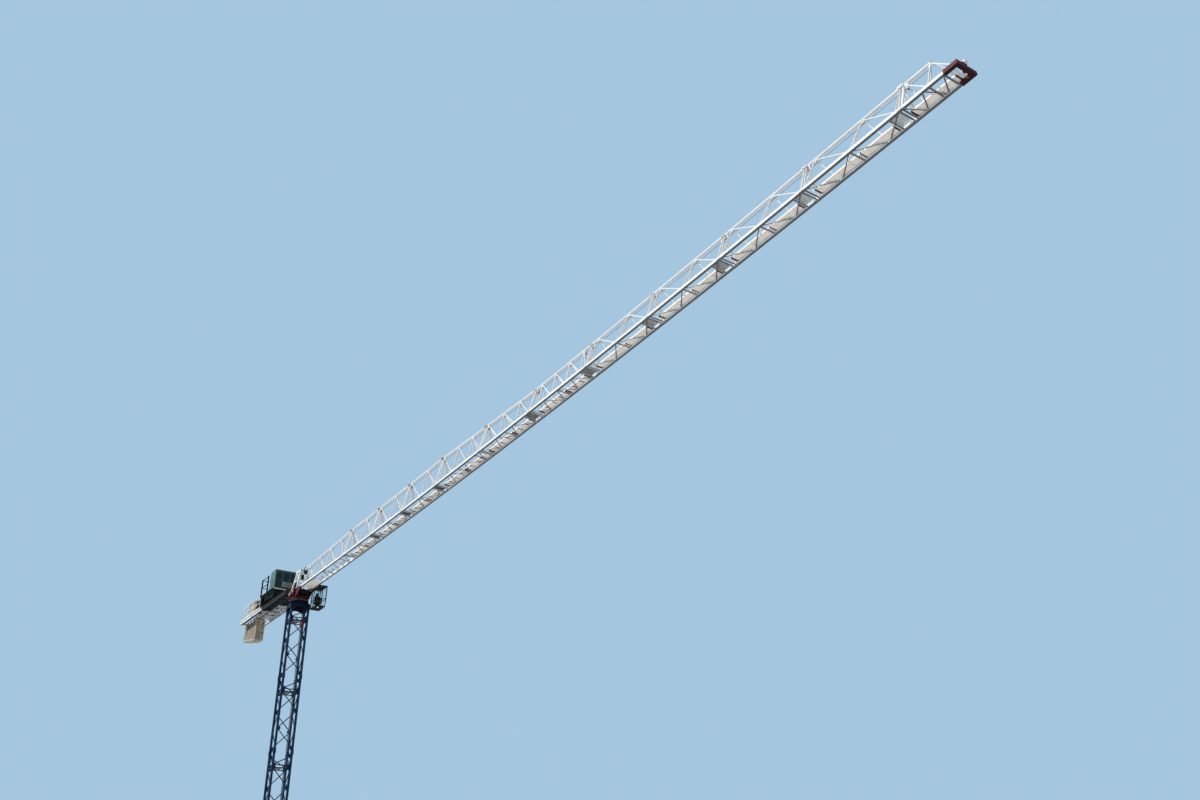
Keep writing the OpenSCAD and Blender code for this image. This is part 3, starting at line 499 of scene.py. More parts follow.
# Outdoor paint is rougher than the paint as sprayed
WEATHERED_ROUGHER = 0.14


def start_material(name):
    """A material with its Principled shader and the object's own coordinates."""
    material = bpy.data.materials.new(name)
    material.use_nodes = True
    tree = material.node_tree
    return material, tree.nodes["Principled BSDF"], add(tree, "TexCoord").outputs["Object"]


def with_effect(name, effect, values, bump, plain):
    """A material from a shared effect: its values, the bump's strength and depth, and plain inputs."""
    material, shader, place = start_material(name)
    colour, roughness, height = add(
        shader.id_data, "Group", {"Vector": place, **values}, node_tree=effect).outputs
    feed(shader, {
        "Base Color": colour, "Roughness": roughness, "Normal": bumped(height, *bump), **plain,
    })
    return material


def worn_paint(name, paint, fade=0.5, streaks=0.3, chips=0.35, roughness=0.42, dirt=(0.12, 0.10, 0.08),
               bare=(0.16, 0.08, 0.05), under=0.85, shine=0.25):
    """Sprayed paint that has stood outdoors."""
    # under: how strongly painted shade darkens the undersides
    values = {"Paint": paint, "Dirt": dirt, "Bare": bare, "Fade": fade, "Streaks": streaks,
              "Chips": chips, "Roughness": roughness + WEATHERED_ROUGHER, "Under": under}
    return with_effect(name, WEATHERING_AND_UNDER_SHADE, values, (0.25, 0.002), {"Specular IOR Level": shine})


def greased_steel(name, colour, metallic=0.85, roughness=0.38, grease=0.5):
    """Machined steel kept under grease."""
    values = {"Steel": colour, "Grease": grease, "Roughness": roughness}
    return with_effect(name, GREASING, values, (0.2, 0.001), {"Metallic": metallic})


def dull_zinc(name, dark, light):
    """Hot-dip zinc between two greys."""
    return with_effect(name, BLOOMING, {"Dark": dark, "Light": light}, (0.15, 0.001), {"Metallic": 0.55})


def soft_black(name, colour=(0.02, 0.02, 0.021), grain=240.0, roughness=0.7):
    """Rubber or cloth."""
    values = {"Black": colour, "Grain": grain, "Roughness": roughness}
    return with_effect(name, DUSTING, values, (0.3, 0.001), {})


def placed_effect(material):
    """The effect's node in a material, and the place that it reads."""
    node = next(node for node in material.node_tree.nodes if node.type == "GROUP")
    return node, node.inputs["Vector"].links[0].from_socket


def less_under_shade_above(material, low, high):
    """Thins the painted shade on undersides between two heights over the jib's arc, x r + x^2 / 2R."""
    worn, place = placed_effect(material)
    x, _, z = axes(place)
    arc = plus(times(x, ARC_RISE), times(times(x, x), 1 / (2 * ARC_RADIUS)))
    near = stepped(plus(z, times(arc, -1.0)), high, low)
    feed(worn, {"Under": times(near, worn.inputs["Under"].default_value)})


def pale_along(material, start, end):
    """Lets zinc grow paler between two places along x."""
    zinc, place = placed_effect(material)
    feed(zinc, {"Pale": stepped(axes(place)[0], start, end)})


def cast_concrete(name, steel_above, hollow_from, hollow_ahead, foot_slope):
    """Cast slabs: mottled cement with pits and damp runs, painted shade of a recess on their side faces
    inside a paler rim, whose lower edge falls with the slabs' feet, and bare steel for the hooks above their
    tops."""
    material, shader, place = start_material(name)
    mottle = cloud(place, 3.2, 8, 0.62)
    sand = cloud(place, 110, 3, 0.7)
    cement = grained(0.35, blended(stepped(mottle, 0.35, 0.68), DARK_CEMENT, PALE_CEMENT), sand)
    runs = cloud(stretched(place, (1, 1, 0.08)), 11, 6, 0.6)
    cement = blended(times(stepped(runs, 0.5, 0.72), 0.55), cement, DAMP_CEMENT)
    holes = stepped(cells(place, 42.0)["Distance"], 0.19, 0.12)
    pit = times(holes, stepped(cloud(place, 19, 2), 0.5, 0.56))
    cement = blended(pit, cement, PITTED_CEMENT)
    along, _, height = axes(place)
    # Painted shade: side faces darken inside a rim, as a recess's shade would, down to an edge that slopes
    # with the feet.
    sloped = plus(height, times(along, foot_slope))
    painted_hollow_shade = times(stepped(sloped, *hollow_from), stepped(along, *hollow_ahead))
    sidelong = stepped(reckoned("ABSOLUTE", surface_normal(shader.id_data)[1]), 0.5, 0.9)
    cement = blended(times(times(painted_hollow_shade, sidelong), 0.8), cement, HOLLOW_SHADE, "MULTIPLY")
    steel = reckoned("GREATER_THAN", height, steel_above)
    feed(shader, {
        "Base Color": blended(steel, cement, blended(mottle, HOOK_RUST, HOOK_STEEL)),
        "Roughness": plus(0.88, times(steel, -0.35)),
        "Normal": bumped(plus(times(sand, 0.3), times(pit, -1.0)), 0.5, 0.003),
    })
    return material


def clear_glass(name):
    """Cab panes: see-through, with dust that dulls the shine in clouds."""
    material, shader, place = start_material(name)
    dust = stepped(cloud(place, 5, 6, 0.6), 0.45, 0.75)
    feed(shader, {
        "Base Color": blended(dust, CLEAN_PANE, DUSTY_PANE), "Roughness": times(dust, 0.04),
        "Transmission Weight": 1.0, "IOR": 1.12,
    })
    return material


def lamp_lens(name, colour):
    """A moulded lens: fine rings of relief and a film of dirt."""
    material, shader, place = start_material(name)
    film = cloud(place, 25, 4)
    relief = add(shader.id_data, "TexWave", {"Vector": place, "Scale": 90.0}).outputs["Fac"]
    feed(shader, {
        "Base Color": blended(film, colour, LENS_FILM), "Roughness": plus(0.12, times(film, 0.25)),
        "Normal": bumped(relief, 0.2, 0.001), "Coat Weight": 0.8,
    })
    return material


NAVY = worn_paint("navy_mast_paint", (0.005, 0.036, 0.090), 0.35, 0.30, 0.35, 0.42, (0.03, 0.04, 0.05))
# Painted shade on the jib's undersides, thinned on its upper parts
WHITE = worn_paint("off_white_jib_paint", (0.82, 0.85, 0.87), 0.20, 0.28, 0.20, 0.42, (0.40, 0.37, 0.32),
                   under=0.95)
less_under_shade_above(WHITE, JIB_LEVEL + 0.06, JIB_LEVEL + 0.12)
RUSTY_WHITE = worn_paint("rust_stained_joints", (0.62, 0.42, 0.30), 0.4, 0.9, 1.0, 0.60, (0.36, 0.15, 0.07),
                         under=0.2)
MAROON = worn_paint("maroon_turntable_paint", (0.105, 0.011, 0.020), 0.5, 0.45, 0.45, 0.45,
                    (0.035, 0.022, 0.02), shine=0.18)
# Painted shade: a darker copy of the mast's navy for the adapter, which hangs in shade
PAINTED_SHADE_NAVY = worn_paint("shaded_adapter_paint", (0.005, 0.014, 0.042), 0.4, 0.45, 0.40, 0.5,
                       (0.02, 0.02, 0.022), shine=0.12)
DARK = worn_paint("dark_green_frame_paint", (0.010, 0.016, 0.017), 0.4, 0.45, 0.35, 0.50,
                  (0.034, 0.031, 0.028), (0.06, 0.03, 0.02), shine=0.08)
TEAL = worn_paint("teal_housing_paint", (0.085, 0.190, 0.200), 0.45, 0.40, 0.22, 0.40, (0.05, 0.06, 0.055))
# Door leaves: dark teal, partly the doors' own paint and partly painted shade of the housing's front, which
# faces away from the sun
DOOR_TEAL_AND_SHADE = worn_paint("door_leaf_paint_and_shade", (0.016, 0.045, 0.048), 0.45, 0.40, 0.30, 0.38, (0.06, 0.06, 0.05))
PALE_GREEN = worn_paint("pale_green_unit_paint", (0.42, 0.50, 0.46), 0.5, 0.5, 0.25, 0.5, (0.16, 0.15, 0.12))
CREAM = worn_paint("cream_walkway_sheet", (0.97, 0.94, 0.89), 0.10, 0.30, 0.30, 0.62, (0.42, 0.34, 0.24),
                   under=0.0)
WINCH_RED = worn_paint("winch_frame_paint", (0.115, 0.040, 0.032), 0.5, 0.6, 0.7, 0.5, (0.04, 0.03, 0.025))
SIGNAL_RED = worn_paint("control_box_paint", (0.42, 0.035, 0.03), 0.4, 0.35, 0.2, 0.4, (0.12, 0.06, 0.05))
STEEL = greased_steel("greased_steel", (0.16, 0.155, 0.15))
BRIGHT_STEEL = greased_steel("bright_steel_pins", (0.42, 0.41, 0.40), 0.9, 0.3, 0.3)
ROPE_STEEL = greased_steel("wire_rope", (0.30, 0.29, 0.27), 0.8, 0.45, 0.4)
ZINC = dull_zinc("dull_zinc", (0.20, 0.22, 0.22), (0.36, 0.38, 0.38))
DARK_ZINC = dull_zinc("dark_grating_zinc", (0.045, 0.054, 0.054), (0.10, 0.115, 0.115))
GRATING = dull_zinc("jib_grating_zinc", (0.05, 0.06, 0.065), (0.11, 0.13, 0.14))
pale_along(GRATING, 10.0, 27.0)
BEIGE = worn_paint("deck_box_paint", (0.50, 0.46, 0.38), 0.4, 0.5, 0.35, 0.5, (0.20, 0.16, 0.12))
CONCRETE = cast_concrete("counterweight_concrete", steel_above=JIB_LEVEL - 0.0335, foot_slope=0.18,
                         hollow_from=(JIB_LEVEL - 1.575, JIB_LEVEL - 1.560), hollow_ahead=(-4.165, -4.180))
GLASS = clear_glass("cab_glass")
RUBBER = soft_black("black_rubber")
CLOTH = soft_black("seat_cloth", (0.035, 0.037, 0.045), 420.0, 0.85)
LENS = lamp_lens("white_lamp_lens", (0.85, 0.85, 0.82))

# The finishes of each slot: the solids take the first one, unless BY_NODE names another
FINISHES = {
    "mast_paint": [NAVY], "jib_paint": [WHITE, RUSTY_WHITE, LENS], "red_paint": [MAROON, SIGNAL_RED],
    "dark_paint": [DARK, RUBBER, CLOTH], "housing_paint": [TEAL, DOOR_TEAL_AND_SHADE, PALE_GREEN],
    "walkway": [CREAM, BEIGE], "galvanised": [ZINC, DARK_ZINC, GRATING], "cab_glazing": [GLASS],
    "dark_steel": [STEEL, BRIGHT_STEEL, ROPE_STEEL, WINCH_RED], "concrete": [CONCRETE],
}
BY_NODE = {
    "hoist_winch": WINCH_RED, "jib_pins": BRIGHT_STEEL,
    "slew_adapter": PAINTED_SHADE_NAVY, "joint_gratings": GRATING, "deck_box": BEIGE,
    "rear_cabinet": DARK, "mast_platforms": DARK_ZINC, "mast_ladder": DARK_ZINC,
}


def paint_solids():
    """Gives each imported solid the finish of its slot, or its own where one is named."""
    slots = {part["node"]: part["material_slot"] for part in frame["record"]["subparts"]}
    for name, node in frame["nodes"].items():
        node.data.materials.clear()
        node.data.materials.append(BY_NODE.get(name, FINISHES[slots[name]][0]))


# The jib's small pieces

WALK_Y = 0.092
RIB_PITCH = 0.31
GRATING_BARS = 25
LINE_DROP = 0.105
ROLLER_X = 0.12
LAMP_X = 1.265
# Bays of the closely braced sections, from the root on
INNER_BAYS = (4, 2, 2, 2, 3, 3, 4)


def jib_frames(k, x, y, z):
    """Frames on section k: x along it, y across, z square to its lower chords."""
    return frames_at(on_jib(k, x, y, z), ALONG[k], Y_AXIS)


def web_nodes():
    """Where the web bars meet the chords: section, fraction of its length, side, and top or bottom."""
    found = []
    for k in range(TIP + 1):
        if k == TIP:
            near, far = ([0.11, 0.56], [0.5]), ([0.11], [0.25, 0.75])
        elif k >= FIRST_OUTER:
            near, far = ([0.11, 0.61], [0.5]), ([0.11, 0.61, 0.97], [0.25, 0.75])
        else:
            bays = INNER_BAYS[k]
            top = (np.arange(bays) + (0.48 if k == FIRST_OUTER - 1 else 0.1)) / bays
            bottom = np.unique(np.round(np.concatenate([top + 0.05, top + 0.9 / bays + 0.05]), 2))
            feet = np.unique(np.round(np.concatenate([top + 0.5 / bays, top - 0.3 / bays]) + 0.01, 3))
            near, far = (top, bottom[bottom < 0.97]), (top, feet[(feet > 0.03) & (feet < 0.97)])
        for side, (tops, bottoms) in ((-1, near), (1, far)):
            found += [(k, t, side, 1) for t in tops] + [(k, b, side, 0) for b in bottoms]
    return np.array(found, float)


def add_jib_gussets():
    """Plates in the web planes: each runs from its chord towards the other chord."""
    k, fraction, side, top = web_nodes().T
    k, top = k.astype(int), top > 0
    x = fraction * LENGTH[k]
    low_end = on_jib(k, x, side * HALF_W, 0)
    high_end = on_jib(k, x, 0, TOP_H[k] + fraction * np.diff(TOP_H)[k])
    web = unit(high_end - low_end) * np.where(top, -1, 1)[:, None]
    frames = frames_at(np.where(top[:, None], high_end, low_end), ALONG[k], web)
    foot = plate([(-0.075, 0.0), (0.075, 0.0), (0.048, 0.095), (-0.048, 0.095)], 0.008)
    crown = plate([(-0.058, 0.0), (0.058, 0.0), (0.034, 0.080), (-0.034, 0.080)], 0.007)
    piece("jib_gusset_plates", join(repeat(foot, frames[~top]), repeat(crown, frames[top])), WHITE)


def add_top_joints():
    """Each top joint: two cheeks with round ends beside the chord, and two pins through them."""
    a = np.linspace(-TURN / 4, TURN / 4, 9)
    end = 0.036 * np.stack([np.cos(a), np.sin(a)], 1)
    cheek = plate(np.concatenate([end + [0.045, 0], -end - [0.045, 0]]), 0.010)
    cheeks = repeat(cheek, sideways([[0, 0.040, 0], [0, -0.040, 0]]))
    pin = turned([(0.012, -0.066), (0.015, -0.062), (0.015, 0.062), (0.012, 0.066)], 16)
    pins = repeat(pin, sideways([[-0.030, 0, 0], [0.030, 0, 0]]))
    for name, joints, material, height in (
        ("worn_top_joints", JOINTS[:5], RUSTY_WHITE, 1.15),
        ("outer_top_joints", JOINTS[5:], WHITE, 0.8),
    ):
        frames = jib_frames(joints, 0, 0, TOP_H[joints])
        frames[:, :, 2] *= height
        piece(name + "_cheeks", repeat(cheeks, frames), material)
        piece(name + "_pins", repeat(pins, frames), BRIGHT_STEEL, smooth=True)


def add_low_joints():
    """Bolt heads and keeper plates on the lower joints' inner faces."""
    side = np.tile([-1, -1, 1, 1], TIP)
    x = np.tile([-0.095, 0.095], 2 * TIP)
    centres = on_jib(np.repeat(JOINTS, 4), x, side * (HALF_W - LOW_CHORD / 2), 0)
    inward = -outward(centres)
    keeper = plate(rounded(0.075, 0.040, 0.008), 0.008)
    frames = frames_at(centres, np.cross(Z_AXIS, inward), Z_AXIS)
    piece("low_joint_keepers", repeat(keeper, frames), WHITE)
    piece("low_joint_bolts", bolts(centres + 0.004 * inward, inward, 0.011), STEEL)


def add_jib_line():
    """A thin taut line under the top chord, from the head to the nose, on a roller at each joint."""
    joints = np.arange(TIP + 1)
    low = TOP_H[:-1] - LINE_DROP
    start = [[0.27, 0, JIB_LEVEL + 0.700]]
    end = on_jib(TIP, 0.55 * LENGTH[TIP], 0.0, 0.570)[None]
    path = np.concatenate([start, on_jib(joints, ROLLER_X, 0.0, low), end])
    thirds = np.concatenate([path[:-1] + np.diff(path, axis=0) * t for t in (0, 1 / 3, 2 / 3)], 1)
    path = np.concatenate([thirds.reshape(-1, 3), path[-1:]])
    piece("jib_line", carried(path, 0.0065, 8), BRIGHT_STEEL, smooth=True)
    roller = turned([(0.010, -0.020), (0.026, -0.018), (0.026, -0.012), (0.016, -0.004),
                     (0.016, 0.004), (0.026, 0.012), (0.026, 0.018), (0.010, 0.020)], 20)
    hangers = blocks([(0, y, 0.045, 0.030, 0.005, 0.130) for y in (-0.024, 0.024)], 0.001)
    frames = jib_frames(joints, ROLLER_X, 0.0, low - 0.020)
    piece("line_rollers", repeat(repeat(roller, sideways([0, 0, 0])), frames), STEEL, smooth=True)
    piece("line_roller_hangers", repeat(hangers, frames), WHITE)


def add_walkway_pieces():
    """Ribs under the jib's walkway, bars across its gratings, and three dark clamps on each sheet."""
    ends = np.full(TIP + 1, 0.865)
    ends[[PLAIN_JOINT, TIP]] = 0.995, 0.93
    rows = [(k, x) for k in range(TIP + 1) for x in np.arange(0.10, ends[k] * LENGTH[k], RIB_PITCH)]
    k, x = np.array(rows).T
    frames = jib_frames(k.astype(int), x, WALK_Y, 0.0)
    rib = block((0, 0, 0.0140), (0.016, 0.170, 0.0126), 0.002, 0.002)
    piece("inner_walkway_ribs", repeat(rib, frames[k < FIRST_OUTER]), DARK_ZINC)
    piece("outer_walkway_ribs", repeat(rib, frames[k >= FIRST_OUTER]), CREAM)
    k = np.repeat(JOINTS[JOINTS != PLAIN_JOINT], GRATING_BARS)
    y = np.tile(np.linspace(-0.176, 0.148, GRATING_BARS), TIP - 1)
    starts = on_jib(k, 0.877 * LENGTH[k], y, 0.0262)
    piece("grating_cross_bars", bars(starts, starts + 0.096 * SPAN[k], 0.0036, 4), GRATING)
    k = np.repeat(JOINTS, 3)
    fraction = np.tile([0.055, 0.53, 0.855], (TIP, 1))
    fraction[-1, -1] = 0.90
    clamp = blocks([(0, 0, 0.012, 0.026, 0.180, 0.016), (0, -0.089, 0.030, 0.026, 0.006, 0.036),
                    (0, 0.089, 0.030, 0.026, 0.006, 0.036)])
    spots = jib_frames(k, fraction.ravel() * LENGTH[k], WALK_Y, 0.0)
    piece("walkway_clamps", repeat(clamp, spots), DARK)


def add_nose_pieces():
    """On the nose: bolts inside its cheeks, a round lamp on a brown bracket, and a white switch box."""
    spots = [(x, s, z) for s in (-1, 1) for x in (1.03, 1.155, 1.28) for z in (-0.025, 0.025)]
    x, side, z = np.array(spots).T
    centres = on_jib(TIP, x, side * (HALF_W - 0.042), z)
    piece("nose_bolts", bolts(centres, -outward(centres), 0.010), STEEL)
    seat = jib_frames(TIP, [0.0], 0.0, 0.0)
    bracket = blocks([
        (LAMP_X, -0.035, 0.080, 0.050, 0.085, 0.084), (LAMP_X, 0.030, 0.070, 0.060, 0.050, 0.064),
        (LAMP_X, 0.000, 0.041, 0.076, 0.190, 0.006),
    ])
    piece("nose_lamp_bracket", repeat(bracket, seat), WINCH_RED)
    a = np.linspace(0.12, 0.96, 12) * np.pi
    globe = np.stack([0.056 * np.sin(a), 0.165 - 0.056 * np.cos(a)], 1)
    lamp = move(turned([(0.030, 0.098), *globe], 24), (LAMP_X, 0.042, 0))
    piece("nose_lamp", repeat(lamp, seat), LENS, smooth=True)
    box = blocks([(1.19, 0.10, 0.075, 0.070, 0.090, 0.060), (1.19, 0.10, 0.108, 0.078, 0.098, 0.006)])
    piece("nose_switch_box", repeat(box, seat), WHITE)


# Head, turntable and slewing ring

PULLEY_X = 0.285
PULLEY_Z = 0.790
ADAPTER_FLANGE = 13.0997
CHEEK_Y = 0.255


def add_head_pieces():
    """The line's head pulley in its fork, with three boxes, and bolts at the head's feet."""
    sheave = turned([(0.018, -0.026), (0.018, -0.014), (0.088, -0.013), (0.092, -0.006), (0.080, 0.0),
                     (0.092, 0.006), (0.088, 0.013), (0.018, 0.014), (0.018, 0.026)], 36)
    upper_piece("head_pulley", repeat(sheave, sideways([PULLEY_X, 0, PULLEY_Z])), STEEL, smooth=True)
    arm = plate([(-0.045, -0.110), (0.045, -0.110), (0.028, 0.024), (0.010, 0.034), (-0.010, 0.034),
                 (-0.028, 0.024)], 0.008)
    sides = sideways([(PULLEY_X, y, PULLEY_Z) for y in (-0.030, 0.030)])
    boxes = blocks([(0.355, 0, 0.670, 0.340, 0.110, 0.012), (0.455, 0, 0.615, 0.130, 0.110, 0.100),
                    (0.455, 0, 0.562, 0.110, 0.090, 0.008), (0.235, -0.060, 0.485, 0.080, 0.090, 0.170)])
    upper_piece("head_pulley_fork", join(repeat(arm, sides), boxes), DARK)
    spots = [(x, y, 0.046) for x in (-0.215, 0.215) for y in (-0.195, -0.160, 0.160, 0.195)]
    upper_piece("head_foot_bolts", bolts(spots, Z_AXIS, 0.011), STEEL)


def ring_of(count, radius, z, start=0.0):
    """Points evenly round the slewing axis."""
    a = start + np.arange(count) * TURN / count
    return points_at(radius * np.cos(a), radius * np.sin(a), z)


def add_slewing_bolts():
    """Circles of bolts on the adapter's flange and on the turntable's ring plate, and the adapter's ribs."""
    piece("adapter_bolts", bolts(ring_of(36, 0.335, ADAPTER_FLANGE), Z_AXIS, 0.010), STEEL, "mast")
    ring = ring_of(40, 0.322, RING_PLATE - TURNTABLE_H)
    beside_cheeks = np.abs(np.abs(ring[:, 1]) - 0.232) > 0.034
    upper_piece("turntable_bolts", bolts(ring[beside_cheeks], Z_AXIS, 0.010), STEEL)
    feet = ring_of(24, 0.300, MAST_TOP + 0.012, 0.13)
    out = unit(feet * [1, 1, 0])
    rib = block((0.012, 0, 0.085), (0.024, 0.008, 0.150))
    piece("adapter_foot_ribs", repeat(rib, frames_at(feet, out, np.cross(Z_AXIS, out))), NAVY, "mast")


def add_turntable_pieces():
    """Between the cheeks a stack of electric boxes; outside, bolts, a white pulley and a pale strip."""
    low = RING_PLATE - TURNTABLE_H
    boxes = blocks([
        (0.035, 0, low + 0.120, 0.250, 0.330, 0.230), (0.035, 0, low + 0.240, 0.265, 0.345, 0.008),
        (0.200, 0.085, low + 0.090, 0.070, 0.120, 0.160), (0.195, -0.090, low + 0.070, 0.060, 0.100, 0.130),
        (0.440, 0, -0.130, 0.260, 0.300, 0.150), (0.440, 0, -0.052, 0.275, 0.315, 0.008),
        (0.020, 0, 0.020, 0.200, 0.220, 0.160),
    ])
    carriers = bars(*([(x, y, -0.150) for x in (0.350, 0.530)] for y in (-0.215, 0.215)), 0.014)
    upper_piece("slip_ring_boxes", join(boxes, carriers), DARK)
    bend = np.array([(0.20, 0, 0.15), (0.235, 0, 0.15), (0.25, 0, 0.13), (0.25, 0, 0.03)]) + low * Z_AXIS
    conduits = [carried(bend + y * Y_AXIS, 0.008, 8) for y in (0.030, 0.000, -0.030)]
    upper_piece("slip_ring_conduits", join(*conduits), RUBBER, smooth=True)
    across = (-0.20, -0.10, 0.10, 0.20)
    spots = [(x, y, z) for y in (-CHEEK_Y, CHEEK_Y) for x in across for z in (-0.200, -0.120)]
    upper_piece("turntable_cheek_bolts", bolts(spots, outward(spots), 0.010), STEEL)
    wheel = turned([(0.016, 0), (0.060, 0.002), (0.066, 0.010), (0.054, 0.018), (0.066, 0.026),
                    (0.060, 0.034), (0.016, 0.036)], 28)
    upper_piece("side_pulley", repeat(wheel, sideways([-0.300, -0.262, -0.060])), WHITE, smooth=True)
    upper_piece("side_strip", block((-0.120, -0.262, -0.020), (0.230, 0.012, 0.040)), CREAM)


# The cab

SEAT_Y = 0.4625
ARM_REST_Y = (0.365, 0.560)
FLOODLIGHT_Y = (0.350, 0.575)
CAB_X = (0.437, 1.063)
CAB_Y = (0.312, 0.613)
PANE_Z = (-0.460, 0.014)


def add_cab_pieces():
    """Seals round the panes, a wiper, the seat's pads, levers, a grab rail, two floodlights and a desk."""
    (x0, x1), (y0, y1), (z0, z1) = CAB_X, CAB_Y, PANE_Z
    post, end_z0 = x0 + 0.198, z0 + 0.014
    sides = [(a, b, y) for y in (y0, y1) for a, b in ((x0, post), (post, x1))]
    loops = [[(a, y, z0), (b, y, z0), (b, y, z1), (a, y, z1)] for a, b, y in sides]
    loops += [[(x, y0, end_z0), (x, y1, end_z0), (x, y1, z1), (x, y0, z1)] for x in (x0, x1)]
    centre = np.mean(loops, axis=1, keepdims=True)
    reach = loops - centre
    inner = centre + reach * (1 - 0.016 / np.abs(reach).max(1, keepdims=True).clip(0.05))
    seals = bars(inner.reshape(-1, 3), np.roll(inner, -1, axis=1).reshape(-1, 3), 0.005)
    upper_piece("cab_window_seals", seals, RUBBER)
    arm = [(1.072, 0.470, -0.005), (1.073, 0.430, -0.170)]
    blade = [(1.072, 0.420, -0.060), (1.072, 0.434, -0.300)]
    upper_piece("cab_wiper", bars(*zip(arm, blade), 0.004), RUBBER)
    pads = [pillow((x, SEAT_Y, z), size) for x, z, size in (
        (0.655, -0.480, (0.200, 0.190, 0.060)),
        (0.560, -0.345, (0.060, 0.185, 0.270)),
        (0.550, -0.165, (0.045, 0.110, 0.075)),
    )] + [pillow((0.660, y, -0.425), (0.150, 0.038, 0.030)) for y in ARM_REST_Y]
    seat = upper_piece("cab_seat_pads", join(*pads), CLOTH, smooth=True)
    feet, tops = ([(x, y, z) for y in ARM_REST_Y] for x, z in ((0.735, -0.430), (0.750, -0.365)))
    knobs = [pillow(top, (0.026, 0.026, 0.036), 1.0) for top in tops]
    upper_piece("cab_levers", join(bars(feet, tops, 0.005), *knobs), RUBBER, smooth=True)
    rail = [(0.470, 0.288, -0.560), (0.470, 0.272, -0.555), (0.470, 0.268, -0.535), (0.470, 0.268, -0.200),
            (0.470, 0.272, -0.180), (0.470, 0.302, -0.175)]
    upper_piece("cab_grab_rail", carried(rail, 0.007, 10, X_AXIS), ZINC, smooth=True)
    lamp = turned([(0.014, -0.045), (0.030, -0.038), (0.038, -0.010), (0.041, 0.0), (0.038, 0.004)], 24)
    spots = facing([(1.040, y, -0.775) for y in FLOODLIGHT_Y], (0.75, 0, -0.65))
    upper_piece("cab_floodlights", repeat(lamp, spots), DARK, smooth=True)
    glass = turned([(0.034, 0.004), (0.030, 0.008), (0.012, 0.011)], 24)
    upper_piece("cab_floodlight_lenses", repeat(glass, spots), LENS, smooth=True)
    props = bars(*([(x, y, z) for y in FLOODLIGHT_Y] for x, z in ((1.020, -0.720), (1.030, -0.770))), 0.007)
    desk = [(0.930, SEAT_Y, -0.500, 0.060, 0.130, 0.020), (0.945, SEAT_Y, -0.440, 0.020, 0.110, 0.080)]
    upper_piece("cab_desk_and_brackets", join(props, blocks(desk)), DARK)


# The machine housing and its deck

HOUSE_X = (-2.275, -1.725)
HOUSE_Y = 0.430
HOUSE_Z = (0.5603, 1.2953)


def add_housing_doors():
    """Three door leaves in the front's recesses, each with slats, hinges and a handle."""
    x, z = HOUSE_X[1] - 0.0045, HOUSE_Z[0] + 0.3525
    frames = ahead([(x, y, z) for y in (-0.2867, 0, 0.2867)])
    leaf = plate(rounded(0.250, 0.588, 0.010), 0.006)
    slat = plate([(-0.085, -0.004), (0.085, -0.004), (0.085, 0.004), (-0.085, 0.004)], 0.006)
    slats = [move(slat, (0, 0.080 + 0.022 * i, 0.004)) for i in range(7)]
    # The leaves' dark teal is partly painted shade of the front.
    upper_piece("housing_door_leaves", repeat(join(leaf, *slats), frames), DOOR_TEAL_AND_SHADE)
    hinges = bars(*([(-0.121, h + end, 0.008) for h in (-0.200, 0.200)] for end in (-0.025, 0.025)), 0.006)
    lever = move(handle(0.045, 0.030, 0.002, 0.014, 0.005), (0.100, 0, 0))
    upper_piece("housing_door_fittings", repeat(join(hinges, lever), frames), ZINC)


def add_housing_trim():
    """Seam strips, roof ribs, a rain edge, lifting eyes and two rows of rivets on each side."""
    x0, x1 = HOUSE_X
    low, top = HOUSE_Z
    seams = [(x1 - 0.0005, y, top - 0.36, 0.004, 0.016, 0.640) for y in (-0.143, 0.143)]
    mid = (x0 + x1) / 2 + 0.05
    seams += [(mid, s * (HOUSE_Y + 0.001), top - 0.150, 0.400, 0.004, 0.012) for s in (-1, 1)]
    ribs = [(x, 0, top + 0.003, 0.012, width, 0.008) for x, width in ((-1.900, 0.700), (-1.760, 0.780))]
    rain_edge = block((x1 + 0.006, 0, top - 0.058), (0.014, 0.780, 0.006), 0.001)
    upper_piece("housing_seam_strips", join(blocks(seams, 0.001), blocks(ribs, 0.002), rain_edge), TEAL)
    a = np.linspace(0, TURN / 2, 9)
    eye = carried(points_at(0.022 * np.cos(a), 0, 0.030 * np.sin(a)), 0.006, 8)
    spots = [(x, y, top - 0.004) for x in (-2.060, -1.800) for y in (-0.300, 0.300)]
    upper_piece("housing_lifting_eyes", repeat(eye, frames_at(spots, X_AXIS, Y_AXIS)), ZINC, smooth=True)
    along = np.linspace(x0 + 0.06, x1 - 0.03, 9)
    rivets = [(x, s * HOUSE_Y, low + up) for s in (-1, 1) for up in (0.028, 0.500) for x in along]
    upper_piece("housing_rivets", bolts(rivets, outward(rivets), 0.0055), ZINC)


def add_front_unit():
    """A pale rounded unit low on the housing's front, with slats, and a pale step below."""
    body = plate(rounded(0.385, 0.205, 0.030, 6), 0.044, 0.010)
    slat = plate(rounded(0.30, 0.008, 0.003), 0.006)
    slats = [move(slat, (0, h, 0.023)) for h in np.linspace(-0.065, 0.065, 6)]
    at = ahead([HOUSE_X[1] + 0.022, 0.052, 0.735])
    upper_piece("front_unit", repeat(body, at), PALE_GREEN, smooth=True)
    upper_piece("front_unit_slats", repeat(join(*slats), at), DARK)
    step = [(-1.690, -0.200, 0.530, 0.012, 0.500, 0.028), (-1.686, -0.200, 0.546, 0.020, 0.500, 0.006)]
    upper_piece("front_step_strip", blocks(step, 0.002), CREAM)


